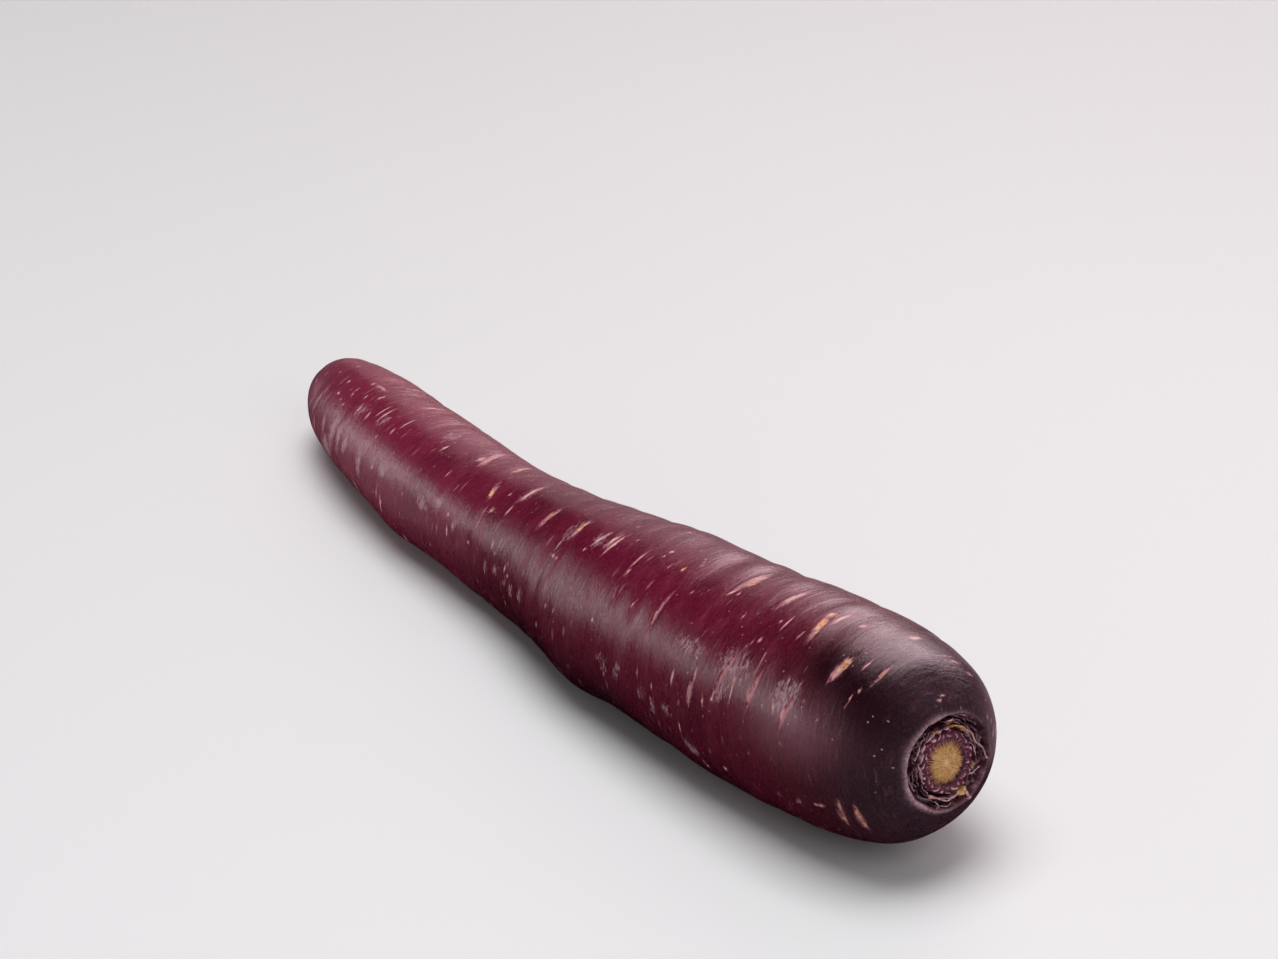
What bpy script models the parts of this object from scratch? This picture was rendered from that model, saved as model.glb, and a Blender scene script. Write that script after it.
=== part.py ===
"""A purple carrot, pulled, washed and topped, lying on its side.

The root grew as one piece, skin and flesh together. In the pit of its crown stand three small
pieces: the cut base of the leaf stalks, the papery sheath torn round it, and the shrivelled
bases of the outer leaves. The crown looks along +X and the tip along -X. Seen from above, the
axis bows a little towards -Y. Angles round the root start at its +Y side and rise over its top.
"""

import math
import random

import bmesh
import bpy
import numpy as np

MM = 0.001
TAU = 2 * math.pi

# The root: its length along the axis, and (share of the length, radius in mm) of its girth,
# which the shoulder and the tip then round off.
LENGTH = 210 * MM
GIRTH = (
    (0.00, 23.6), (0.08, 20.9), (0.16, 19.1), (0.25, 18.0), (0.34, 17.0), (0.42, 15.7),
    (0.51, 13.8), (0.60, 12.8), (0.70, 12.3), (0.80, 12.0), (0.90, 10.9), (1.00, 10.1),
)
SHOULDER_LENGTH = 57 * MM
SHOULDER_FULLNESS = 2.92
TIP_LENGTH = 27.5 * MM
TIP_FULLNESS = 2.3

# The bow: (share of the length, degrees that the axis leans towards -Y on its way to the tip).
BEND = (
    (0.00, 5.7), (0.15, 4.9), (0.30, 4.0), (0.38, 1.5), (0.46, -2.6),
    (0.54, -0.6), (0.63, 0.2), (0.75, -3.6), (0.90, -8.2), (1.00, -9.0),
)

# The pit in the crown, from its middle out over the rolled lip: (depth, radius) in mm.
PIT = (
    (5.6, 0.0), (5.6, 3.6), (5.6, 6.9), (5.1, 7.6), (3.2, 7.9), (2.0, 8.1), (1.4, 8.4), (1.15, 8.9),
)
LIP_END = 1.6 * MM

# Low form of the skin: swellings as (height mm, lobes round, turns along, start), then creases.
SWELLS = ((0.20, 2, 1.2, 1.7), (0.16, 3, -1.9, 0.4), (0.10, 5, 2.6, 2.2), (0.12, 1, 5.3, 0.9))
CREASES = 52
CREASE_SEED = 7
RELIEF_START = 9 * MM

# Lumps and hollows: (distance mm, angle in degrees, height mm, half length mm, spread degrees).
LUMPS = ((153, 217, 1.1, 9, 45), (84, 222, 0.8, 6, 40), (60, 74, -0.7, 14, 50))

# The three low places it lies on, given in the same way, and how far they are pressed flat.
FEET = ((42, 266, 0.55, 13, 20), (96, 275, 0.5, 13, 20), (165, 268, 0.55, 13, 20))
SINK = 0.25 * MM

# Scars where side roots left the skin: (distance mm, angle in degrees, length mm, slant mm).
SCARS = (
    (8.0, 117, 5.0, 0.5), (10.0, 213, 8.0, 1.5), (7.6, 217, 5.5, 0.5), (14.0, 123, 6.5, 0.8),
    (17.5, 205, 3.5, 0.5), (20.5, 154, 9.0, 1.5), (23.5, 110, 5.5, 0.5), (29.5, 154, 7.0, 0.6),
    (36.0, 148, 13.0, 3.5), (43.0, 167, 6.5, 0.6), (48.0, 105, 6.5, 1.2), (57.0, 138, 10.0, 1.0),
    (97.5, 119, 6.5, 1.2), (123.0, 111, 6.0, 2.0), (136.0, 80, 8.0, 2.5), (70.0, 180, 8.0, 1.0),
)
MORE_SCARS = 16
SCAR_SEED = 23
SCAR_WIDTH = 1.1 * MM
SCAR_DEPTH = 0.6 * MM
CUTTER_RISE = 0.5 * MM

# The cut leaf stalks, standing a little low and aside in the pit: (depth, radius) in mm.
STUB_ASIDE = 0.2 * MM
STUB_DROP = -0.8 * MM
STUB = (
    (5.3, 0.0), (5.3, 4.5), (4.9, 4.95), (3.2, 5.0), (1.9, 5.05), (1.35, 4.8), (1.25, 4.3),
    (1.5, 3.8), (1.25, 3.4), (1.05, 2.6), (1.0, 1.4), (1.2, 0.0),
)
STUB_RIDGES = 17
STUB_RIDGE_HEIGHT = 0.14 * MM

# The sheath round it and the leaf bases round that. Depths are measured from the crown's plane.
SHEATH_GAP = 0.3 * MM
SHEATH_WALL = 0.6 * MM
SHEATH_TOP = 1.5 * MM
SHEATH_FOOT = 5.25 * MM
FLAPS = ((60, 0.8, 0.50), (215, 0.6, 0.35), (318, 0.8, 0.40))
THREAD_RADIUS = 0.32 * MM
BASES_INNER = 6.3 * MM
BASES_GAP = 0.3 * MM
BASES_TOP = 2.9 * MM
BASES_FOOT = 5.2 * MM

SIDES_ROUND = 44
AXIS_STEPS = 420


def clear_scene():
    for old in list(bpy.data.objects):
        bpy.data.objects.remove(old, do_unlink=True)


def finish(name, colour, roughness):
    """A Principled material with one colour and one roughness."""
    material = bpy.data.materials.new(name)
    material.use_nodes = True
    shader = material.node_tree.nodes["Principled BSDF"]
    shader.inputs["Base Color"].default_value = (*colour, 1)
    shader.inputs["Roughness"].default_value = roughness
    shader.inputs["Metallic"].default_value = 0
    return material


def through(stations, places):
    """A smooth curve through (place, value) stations, level wherever the values turn round."""
    x, y = np.array(stations, float).T
    run = np.diff(y) / np.diff(x)
    inner = np.where(run[1:] * run[:-1] > 0, (run[1:] + run[:-1]) / 2, 0)
    slope = np.concatenate([run[:1], inner, run[-1:]])
    i = np.clip(np.searchsorted(x, places) - 1, 0, len(x) - 2)
    span = x[i + 1] - x[i]
    t = (places - x[i]) / span
    start = (1 + 2 * t) * (1 - t) ** 2 * y[i] + t * (1 - t) ** 2 * span * slope[i]
    end = t * t * (3 - 2 * t) * y[i + 1] - t * t * (1 - t) * span * slope[i + 1]
    return start + end


def bent_axis():
    """Distances from the crown, the axis points there, and the unit directions to the tip."""
    distance = np.linspace(0, LENGTH, AXIS_STEPS + 1)
    lean = np.radians(through(BEND, distance / LENGTH))
    middle = (lean[1:] + lean[:-1]) / 2
    step = LENGTH / AXIS_STEPS
    x = -step * np.concatenate([[0], np.cumsum(np.cos(middle))])
    y = -step * np.concatenate([[0], np.cumsum(np.sin(middle))])
    z = through(GIRTH, distance / LENGTH) * MM - SINK
    points = np.stack([x, y, z], axis=1)
    forward = np.gradient(points, axis=0)
    return distance, points, forward / np.linalg.norm(forward, axis=1, keepdims=True)


AXIS = bent_axis()


def frame_at(distance):
    """Axis point, direction to the tip, side and up at each distance."""
    along, points, forward = AXIS
    point = np.stack([np.interp(distance, along, points[:, i]) for i in range(3)], axis=-1)
    ahead = np.stack([np.interp(distance, along, forward[:, i]) for i in range(3)], axis=-1)
    ahead /= np.linalg.norm(ahead, axis=-1, keepdims=True)
    side = np.cross(ahead, (0, 0, 1))
    side /= np.linalg.norm(side, axis=-1, keepdims=True)
    return point, ahead, side, np.cross(side, ahead)


def girth(distance):
    """Radius of the root, rounded off as a superellipse at the shoulder and at the tip."""
    radius = through(GIRTH, distance / LENGTH) * MM
    before = np.clip(1 - distance / SHOULDER_LENGTH, 0, 1)
    beyond = np.clip(1 - (LENGTH - distance) / TIP_LENGTH, 0, 1)
    shoulder = np.clip(1 - before**SHOULDER_FULLNESS, 0, 1) ** (1 / SHOULDER_FULLNESS)
    tip = np.clip(1 - beyond**TIP_FULLNESS, 0, 1) ** (1 / TIP_FULLNESS)
    return radius * shoulder * tip


def around(angle, centre):
    """Difference of two angles, brought between minus and plus half a turn."""
    return (angle - centre + math.pi) % TAU - math.pi


def crease_list():
    """(distance, angle, reach, depth, width) of each shallow crease part of the way round."""
    draw = random.Random(CREASE_SEED)
    return [
        (
            draw.uniform(0.07, 0.95) * LENGTH,
            draw.uniform(0, TAU),
            math.radians(draw.uniform(22, 55)),
            draw.uniform(0.12, 0.34) * MM,
            draw.uniform(1.5, 2.3) * MM,
        )
        for _ in range(CREASES)
    ]


CREASE_LIST = crease_list()


def relief(distance, angle):
    """Height of the swellings, creases, lumps and resting places over the girth."""
    share = distance / LENGTH
    height = sum(
        rise * MM * np.cos(lobes * angle + TAU * turns * share + start)
        for rise, lobes, turns, start in SWELLS
    )
    for place, centre, reach, depth, width in CREASE_LIST:
        across = np.exp(-(((distance - place) / width) ** 2))
        height = height - depth * across * np.exp(-((around(angle, centre) / reach) ** 2))
    height = height * np.clip(distance / RELIEF_START, 0, 1) ** 2
    for place, centre, rise, reach, spread in LUMPS + FEET:
        along = np.exp(-(((distance - place * MM) / (reach * MM)) ** 2))
        round_it = np.exp(-((around(angle, math.radians(centre)) / math.radians(spread)) ** 2))
        height = height + rise * MM * along * round_it
    return height


def ring_points(distance, radius, angle):
    """Points at a radius from the axis, with nothing below the surface that it lies on."""
    point, _, side, up = frame_at(distance)
    reach = radius[..., None]
    points = point + reach * (np.cos(angle)[..., None] * side + np.sin(angle)[..., None] * up)
    points[..., 2] = np.maximum(points[..., 2], 0)
    return points


def lifted_points(distance, angle, lift):
    """Points a lift above the skin, along its own slope."""
    small = 0.2 * MM
    slope = (girth(distance + small) - girth(distance - small)) / (2 * small)
    upright = 1 / np.sqrt(1 + slope**2)
    point, ahead, side, up = frame_at(distance)
    outward = np.cos(angle)[..., None] * side + np.sin(angle)[..., None] * up
    reach = girth(distance) + relief(distance, angle) + lift * upright
    return point + reach[..., None] * outward - (lift * slope * upright)[..., None] * ahead


def crown_points(depth, radius, angle, aside=0.0, rise=0.0):
    """Points in the crown's pit, at a depth below its plane and a radius from a centre in it."""
    point, ahead, side, up = frame_at(np.array(0.0))
    across = (aside + radius * np.cos(angle))[..., None] * side
    return point + depth[..., None] * ahead + across + (rise + radius * np.sin(angle))[..., None] * up


def loft(name, rings, joined=False):
    """A closed mesh object through rings of points; joined makes the last ring meet the first."""
    count, sides, _ = rings.shape
    mesh = bmesh.new()
    grid = [[mesh.verts.new(point) for point in ring] for ring in rings]
    for i in range(count if joined else count - 1):
        for j in range(sides):
            k = (j + 1) % sides
            ahead = grid[(i + 1) % count]
            mesh.faces.new((grid[i][j], grid[i][k], ahead[k], ahead[j]))
    bmesh.ops.remove_doubles(mesh, verts=mesh.verts, dist=1e-6)
    bmesh.ops.recalc_face_normals(mesh, faces=mesh.faces)
    data = bpy.data.meshes.new(name)
    mesh.to_mesh(data)
    mesh.free()
    data.shade_smooth()
    piece = bpy.data.objects.new(name, data)
    bpy.context.scene.collection.objects.link(piece)
    return piece


def skin_distances():
    """Distances of the rings outside the lip: close at the shoulder and at the tip."""
    shoulder_end, tip_start = 18 * MM, 192 * MM
    shoulder = LIP_END + (shoulder_end - LIP_END) * np.linspace(0, 1, 12) ** 1.6
    body = np.linspace(shoulder_end, tip_start, 72)[1:]
    tip = tip_start + (LENGTH - tip_start) * np.sin(np.linspace(0, math.pi / 2, 10))[1:]
    return np.concatenate([shoulder, body, tip])


def make_root():
    angle = np.linspace(0, TAU, SIDES_ROUND, endpoint=False)[None, :]
    depth, pit_radius = (np.array(PIT) * MM).T
    distance = np.concatenate([depth, skin_distances()])[:, None]
    radius = girth(distance) + relief(distance, angle)
    radius[: len(PIT)] = pit_radius[:, None]
    radius[-1] = 0
    root = loft("root", ring_points(distance + 0 * angle, radius, angle + 0 * distance))
    root.data.materials.append(finish("purple_skin", (0.080, 0.006, 0.020), 0.42))
    return root


def all_scars():
    """The scars seen on the photographed side, and others spread over the rest of the skin."""
    draw = random.Random(SCAR_SEED)
    scars = [(d * MM, math.radians(a), length * MM, slant * MM) for d, a, length, slant in SCARS]
    for i in range(MORE_SCARS):
        scars.append((
            (28 + 10.5 * i + draw.uniform(-3, 3)) * MM,
            math.radians((draw.choice((20, 55, 300, 335)) + draw.uniform(-9, 9)) % 360),
            draw.uniform(4, 8) * MM,
            draw.uniform(-1, 1) * MM,
        ))
    return scars


def scar_cutter(name, distance, angle, length, slant):
    """A curved wedge that runs round the root and comes out of the skin at both ends."""
    u = np.linspace(-1, 1, 7)
    place = distance + u * slant / 2
    turn = angle + u * length / 2 / girth(place)
    closing = 1 - u**2
    half = SCAR_WIDTH / 2 * (1 + CUTTER_RISE / SCAR_DEPTH) * np.sqrt(closing)
    rise = np.where(closing > 0, CUTTER_RISE, 0.1 * MM)
    deep = np.where(closing > 0, -SCAR_DEPTH * closing, 0.1 * MM)
    rings = np.stack([
        lifted_points(place - half, turn, rise),
        lifted_points(place + half, turn, rise),
        lifted_points(place, turn, deep),
    ], axis=1)
    return loft(name, rings)


def cut_scars(root):
    """Cuts every scar out of the root with one hidden cutter."""
    wedges = [scar_cutter(f"scar_{i}", *scar) for i, scar in enumerate(all_scars())]
    joined = bmesh.new()
    for wedge in wedges:
        joined.from_mesh(wedge.data)
        bpy.data.objects.remove(wedge, do_unlink=True)
    cutter = bpy.data.objects.new("scar_cutters", bpy.data.meshes.new("scar_cutters"))
    joined.to_mesh(cutter.data)
    joined.free()
    bpy.context.scene.collection.objects.link(cutter)
    cutter.hide_render = True
    cutter.display_type = "WIRE"
    cut = root.modifiers.new("scars", "BOOLEAN")
    cut.operation = "DIFFERENCE"
    cut.object = cutter
    return cutter


def ragged(angle, lobes, starts):
    """An uneven edge round a ring, between about minus and plus one."""
    return sum(np.cos(n * angle + start) for n, start in zip(lobes, starts)) / len(lobes) * 1.5


def make_stub():
    angle = np.linspace(0, TAU, 56, endpoint=False)[None, :]
    depth, radius = (np.array(STUB) * MM)[:, :, None].transpose(1, 0, 2)
    uneven = 1 + 0.03 * np.cos(2 * angle + 0.8) + 0.02 * np.cos(5 * angle)
    on_face = (depth < 1.6 * MM) & (radius > 3.5 * MM)
    ridges = STUB_RIDGE_HEIGHT * np.cos(STUB_RIDGES * angle + 1.1 * np.sin(3 * angle))
    rings = crown_points(
        depth - np.where(on_face, ridges, 0), radius * uneven, angle, STUB_ASIDE, STUB_DROP
    )
    stub = loft("stalk_stub", rings)
    stub.data.materials.append(finish("cut_stalk", (0.30, 0.16, 0.07), 0.75))
    return stub


def thread(name, path):
    """A thin round thread through (depth, radius, degrees) points, ending in a small swelling."""
    points = crown_points(
        *(np.array(path, float).T * np.array((MM, MM, math.pi / 180))[:, None]),
        STUB_ASIDE, STUB_DROP,
    )
    place = np.linspace(0, 1, len(points))
    fine = np.linspace(0, 1, 13)
    line = np.stack([through(np.stack([place, points[:, i]], 1), fine) for i in range(3)], axis=1)
    ahead = np.gradient(line, axis=0)
    ahead /= np.linalg.norm(ahead, axis=1, keepdims=True)
    side = np.cross(ahead, (0, 0, 1))
    side /= np.linalg.norm(side, axis=1, keepdims=True)
    up = np.cross(side, ahead)
    radius = THREAD_RADIUS * np.where(fine > 0.85, 1.4, 1)
    turn = np.linspace(0, TAU, 6, endpoint=False)[None, :, None]
    rings = line[:, None] + radius[:, None, None] * (
        np.cos(turn) * side[:, None] + np.sin(turn) * up[:, None]
    )
    start = np.repeat(line[:1, None], 6, axis=1)
    end = np.repeat(line[-1:, None] + 0.3 * MM * ahead[-1:, None], 6, axis=1)
    return loft(name, np.concatenate([start, rings, end]))


def make_sheath():
    """A ragged papery collar, flared where its torn flaps stand, with three threads fused on."""
    angle = np.linspace(0, TAU, 52, endpoint=False)[None, :]
    inner = 5.05 * MM * (1 + 0.03 * np.cos(2 * angle + 0.8) + 0.02 * np.cos(5 * angle)) + SHEATH_GAP
    edge = ragged(angle, (4, 7, 11, 17), (0.3, 1.9, 4.0, 2.2))
    flap = sum(
        np.exp(-((around(angle, math.radians(centre)) / reach) ** 2)) * rise
        for centre, rise, reach in FLAPS
    )
    top = SHEATH_TOP - (0.32 * edge + 0.9 * flap) * MM
    flare = (0.12 + 0.35 * flap) * MM
    middle = (top + SHEATH_FOOT) / 2
    rings = np.concatenate([
        crown_points(SHEATH_FOOT + 0 * angle, inner, angle, STUB_ASIDE, STUB_DROP),
        crown_points(middle, inner + 0.1 * MM, angle, STUB_ASIDE, STUB_DROP),
        crown_points(top, inner + 0.1 * MM + flare, angle, STUB_ASIDE, STUB_DROP),
        crown_points(top, inner + 0.1 * MM + flare + SHEATH_WALL, angle, STUB_ASIDE, STUB_DROP),
        crown_points(middle, inner + SHEATH_WALL + 0.1 * MM, angle, STUB_ASIDE, STUB_DROP),
        crown_points(SHEATH_FOOT + 0 * angle, inner + SHEATH_WALL, angle, STUB_ASIDE, STUB_DROP),
    ])
    sheath = loft("sheath_frill", rings, joined=True)
    threads = bpy.data.collections.new("threads")
    bpy.context.scene.collection.children.link(threads)
    paths = (
        ((2.4, 5.7, 48), (1.4, 6.2, 42), (0.5, 6.9, 30), (0.1, 7.7, 16), (0.2, 8.3, 6)),
        ((2.4, 5.7, 160), (1.5, 6.0, 168), (0.9, 6.2, 180), (0.9, 6.3, 195)),
        ((2.4, 5.7, 285), (1.4, 6.1, 272), (0.7, 6.5, 258), (0.4, 6.8, 250)),
    )
    for i, path in enumerate(paths):
        piece = thread(f"thread_{i}", path)
        bpy.context.scene.collection.objects.unlink(piece)
        threads.objects.link(piece)
    join = sheath.modifiers.new("threads", "BOOLEAN")
    join.operation = "UNION"
    join.operand_type = "COLLECTION"
    join.collection = threads
    bpy.context.view_layer.update()
    graph = bpy.context.evaluated_depsgraph_get()
    sheath.data = bpy.data.meshes.new_from_object(sheath.evaluated_get(graph))
    sheath.data.name = "sheath_frill"
    sheath.modifiers.clear()
    for piece in list(threads.objects):
        bpy.data.objects.remove(piece, do_unlink=True)
    bpy.data.collections.remove(threads)
    sheath.data.materials.clear()
    sheath.data.materials.append(finish("papery_sheath", (0.42, 0.24, 0.12), 0.8))
    return sheath


def make_leaf_bases():
    """A ragged dark ring between the sheath and the pit's wall, wide above and narrow below."""
    angle = np.linspace(0, TAU, 48, endpoint=False)[None, :]
    wall = 7.6 * MM - BASES_GAP
    drop = np.sin(angle) * STUB_DROP + np.cos(angle) * STUB_ASIDE
    inner = drop + BASES_INNER
    edge = ragged(angle, (3, 5, 8, 13), (0.8, 2.5, 5.1, 1.2))
    top = BASES_TOP - 0.75 * MM * edge
    rings = np.concatenate([
        crown_points(BASES_FOOT - 0.3 * MM + 0 * angle, inner, angle),
        crown_points(top + 0.4 * MM, inner, angle),
        crown_points(top, (inner * 2 + wall) / 3, angle),
        crown_points(top - 0.25 * MM * ragged(angle, (9, 14), (0.0, 3.0)), (inner + wall * 2) / 3, angle),
        crown_points(top + 0.5 * MM, wall + 0 * angle, angle),
        crown_points(BASES_FOOT - 0.3 * MM + 0 * angle, wall - 0.1 * MM + 0 * angle, angle),
    ])
    bases = loft("withered_leaf_bases", rings, joined=True)
    bases.data.materials.append(finish("withered_leaf", (0.035, 0.012, 0.018), 0.85))
    return bases


def stand_in_the_middle(pieces):
    """Puts every piece under one empty, moved so that the whole box stands on the origin."""
    bpy.context.view_layer.update()
    graph = bpy.context.evaluated_depsgraph_get()
    corners = np.array([
        corner for piece in pieces for corner in piece.evaluated_get(graph).bound_box
    ])
    middle = (corners.min(axis=0) + corners.max(axis=0)) / 2
    carrot = bpy.data.objects.new("carrot", None)
    bpy.context.scene.collection.objects.link(carrot)
    for piece in bpy.data.objects:
        if piece is not carrot:
            piece.parent = carrot
    carrot.location = (-middle[0], -middle[1], 0)


def main():
    clear_scene()
    root = make_root()
    cut_scars(root)
    pieces = [root, make_stub(), make_sheath(), make_leaf_bases()]
    stand_in_the_middle(pieces)


main()
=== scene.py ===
# %% [markdown]
# A purple carrot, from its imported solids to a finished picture.
#
# The solids of the carrot are already made at their real size: the root, and in the pit of its
# crown the cut leaf stalks, the torn sheath round them and the withered bases of the outer
# leaves. This lesson dresses them. Every piece is a surface worked out with numpy, laid over the
# solid that it stands for, and given a finish that is painted by shader nodes.

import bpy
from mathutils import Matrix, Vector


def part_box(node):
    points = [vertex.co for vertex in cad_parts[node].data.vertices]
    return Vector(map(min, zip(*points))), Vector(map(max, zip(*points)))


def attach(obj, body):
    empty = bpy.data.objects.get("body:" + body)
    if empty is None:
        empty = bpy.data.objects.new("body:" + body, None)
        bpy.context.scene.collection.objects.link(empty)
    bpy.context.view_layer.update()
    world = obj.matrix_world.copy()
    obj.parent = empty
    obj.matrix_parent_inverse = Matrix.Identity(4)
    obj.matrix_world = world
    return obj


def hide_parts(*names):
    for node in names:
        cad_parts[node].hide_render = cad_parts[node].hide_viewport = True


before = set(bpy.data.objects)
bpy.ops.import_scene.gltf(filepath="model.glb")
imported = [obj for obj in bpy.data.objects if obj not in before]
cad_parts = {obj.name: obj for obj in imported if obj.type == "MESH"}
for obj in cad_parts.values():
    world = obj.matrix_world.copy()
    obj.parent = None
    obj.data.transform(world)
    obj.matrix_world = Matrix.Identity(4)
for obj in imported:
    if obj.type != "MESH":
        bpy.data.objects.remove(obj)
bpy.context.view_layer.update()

# %% What the lesson needs beside the frame
import math
import random

import bmesh
import bpy
import numpy as np
from mathutils import Vector

MM = 0.001
TAU = 2 * math.pi

# %% [markdown]
# The root first. It could be sculpted by hand, but a carrot follows simple rules: a girth that
# falls off towards the tip, a slightly bent axis, and ends rounded off like a barrel's. The
# solid was made from a few stations along the length, so the skin is made from the same ones and
# lies close over it. A curve through stations is all the mathematics that this takes.

# %% Stations of the root, the same as the solid's
LENGTH = 210 * MM
# Girth: (share of the length, radius mm). Bend: (share of the length, lean in degrees).
GIRTH = (
    (0.00, 23.6), (0.08, 20.9), (0.16, 19.1), (0.25, 18.0), (0.34, 17.0), (0.42, 15.7),
    (0.51, 13.8), (0.60, 12.8), (0.70, 12.3), (0.80, 12.0), (0.90, 10.9), (1.00, 10.1),
)
BEND = (
    (0.00, 5.7), (0.15, 4.9), (0.30, 4.0), (0.38, 1.5), (0.46, -2.6),
    (0.54, -0.6), (0.63, 0.2), (0.75, -3.6), (0.90, -8.2), (1.00, -9.0),
)
SHOULDER_LENGTH, SHOULDER_FULLNESS = 57 * MM, 2.92
TIP_LENGTH, TIP_FULLNESS = 27.5 * MM, 2.3
SINK = 0.25 * MM
AXIS_STEPS = 420


def through(stations, places):
    """A cubic through (place, value) stations; each slope is the mean of the runs beside it, or
    none where the values turn round."""
    x, y = np.array(stations, float).T
    run = np.diff(y) / np.diff(x)
    inner = np.where(run[1:] * run[:-1] > 0, (run[1:] + run[:-1]) / 2, 0)
    slope = np.concatenate([run[:1], inner, run[-1:]])
    i = np.clip(np.searchsorted(x, places) - 1, 0, len(x) - 2)
    span = x[i + 1] - x[i]
    t = (places - x[i]) / span
    start = (1 + 2 * t) * (1 - t) ** 2 * y[i] + t * (1 - t) ** 2 * span * slope[i]
    end = t * t * (3 - 2 * t) * y[i + 1] - t * t * (1 - t) * span * slope[i + 1]
    return start + end


def unit(vectors):
    """The same directions, each of length one."""
    return vectors / np.linalg.norm(vectors, axis=-1, keepdims=True)


def bent_axis():
    """Small straight steps from the crown, each turned by the bend's angle there. The height is
    the girth's radius less a little, so that the underside is pressed flat on the floor."""
    distance = np.linspace(0, LENGTH, AXIS_STEPS + 1)
    lean = np.radians(through(BEND, distance / LENGTH))
    middle = (lean[1:] + lean[:-1]) / 2
    step = LENGTH / AXIS_STEPS
    x = -step * np.concatenate([[0], np.cumsum(np.cos(middle))])
    y = -step * np.concatenate([[0], np.cumsum(np.sin(middle))])
    z = through(GIRTH, distance / LENGTH) * MM - SINK
    points = np.stack([x, y, z], axis=1)
    return distance, points, unit(np.gradient(points, axis=0))


AXIS = bent_axis()
print("axis from the crown to", np.round(AXIS[1][-1] * 1000, 1), "mm")


# %% Frames along the axis, and the radius of the root
def side_and_up(ahead):
    """A level direction across each of the given ones, and the one square to both."""
    side = unit(np.cross(ahead, (0, 0, 1)))
    return side, np.cross(side, ahead)


def frame_at(distance):
    """Axis point, direction to the tip, side and up, read off the axis at each distance."""
    along, points, forward = AXIS
    point = np.stack([np.interp(distance, along, points[:, i]) for i in range(3)], axis=-1)
    ahead = np.stack([np.interp(distance, along, forward[:, i]) for i in range(3)], axis=-1)
    ahead = unit(ahead)
    return point, ahead, *side_and_up(ahead)


def girth(distance):
    """Station radius times two superellipse quarters, one at the shoulder and one at the tip:
    (1 - (1 - u)^n)^(1/n), where u runs from the end to where the rounding stops."""
    radius = through(GIRTH, distance / LENGTH) * MM
    before = np.clip(1 - distance / SHOULDER_LENGTH, 0, 1)
    beyond = np.clip(1 - (LENGTH - distance) / TIP_LENGTH, 0, 1)
    shoulder = np.clip(1 - before**SHOULDER_FULLNESS, 0, 1) ** (1 / SHOULDER_FULLNESS)
    tip = np.clip(1 - beyond**TIP_FULLNESS, 0, 1) ** (1 / TIP_FULLNESS)
    return radius * shoulder * tip


thickest = girth(np.linspace(0, LENGTH, 400)).max()
print("thickest place:", round(2 * thickest * 1000, 1), "mm across")

# %% [markdown]
# A girth alone gives a turned piece of wood. A real root swells and narrows unevenly, and shallow
# creases run part of the way round it, because it thickened in the ground a ring at a time. These
# are heights added to the radius: a few long waves, then creases and lumps as smooth bumps. The
# draws are seeded as they were for the solid, so both have the same creases.

# %% Swellings, creases, lumps and the places it lies on
# Swellings: (rise mm, waves round, waves along, start in radians).
SWELLS = ((0.20, 2, 1.2, 1.7), (0.16, 3, -1.9, 0.4), (0.10, 5, 2.6, 2.2), (0.12, 1, 5.3, 0.9))
CREASES, CREASE_SEED = 52, 7
RELIEF_START = 9 * MM
# Lumps and resting places: (distance mm, angle, rise mm, reach mm, reach in degrees).
LUMPS = ((153, 217, 1.1, 9, 45), (84, 222, 0.8, 6, 40), (60, 74, -0.7, 14, 50))
FEET = ((42, 266, 0.55, 13, 20), (96, 275, 0.5, 13, 20), (165, 268, 0.55, 13, 20))


def around(angle, centre):
    """Difference of two angles, brought between minus and plus half a turn."""
    return (angle - centre + math.pi) % TAU - math.pi


def bell(away, reach):
    """A smooth hump, e^-(away / reach)^2: one at its middle, and almost nothing at twice its
    reach."""
    return np.exp(-((away / reach) ** 2))


def mound(distance, angle, place, centre, reach, spread):
    """A bell along the root times one round it. The place and its reach are in mm, the centre and
    its spread in degrees."""
    along = bell(distance - place * MM, reach * MM)
    return along * bell(around(angle, math.radians(centre)), math.radians(spread))


def crease_list():
    """(distance, angle, reach, depth, width) of each crease, drawn in that order."""
    draw = random.Random(CREASE_SEED)
    return [
        (
            draw.uniform(0.07, 0.95) * LENGTH,
            draw.uniform(0, TAU),
            math.radians(draw.uniform(22, 55)),
            draw.uniform(0.12, 0.34) * MM,
            draw.uniform(1.5, 2.3) * MM,
        )
        for _ in range(CREASES)
    ]


CREASE_LIST = crease_list()


def relief(distance, angle):
    """Sum of cosines round and along, less a bell-shaped valley for each crease, plus a bell for
    each lump and resting place."""
    share = distance / LENGTH
    height = sum(
        rise * MM * np.cos(lobes * angle + TAU * turns * share + start)
        for rise, lobes, turns, start in SWELLS
    )
    for place, centre, reach, depth, width in CREASE_LIST:
        valley = bell(distance - place, width) * bell(around(angle, centre), reach)
        height = height - depth * valley
    height = height * np.clip(distance / RELIEF_START, 0, 1) ** 2
    for place, centre, rise, reach, spread in LUMPS + FEET:
        height = height + rise * MM * mound(distance, angle, place, centre, reach, spread)
    return height


print(len(CREASE_LIST), "creases,", len(LUMPS), "lumps,", len(FEET), "resting places")

# %% [markdown]
# Up close the skin is never smooth. Fine wrinkles run round the root, like the folds of a sleeve,
# and they show wherever the light glances off it. A noise texture could only shade them, so here
# they are real heights. The noise is a table of random numbers, blended between its entries, with
# columns that close up round the root, so there is no seam.


# %% A seamless noise on the skin
def eased(t):
    """From nothing to one, slowly at both ends: 3t^2 - 2t^3."""
    return t * t * (3 - 2 * t)


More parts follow.
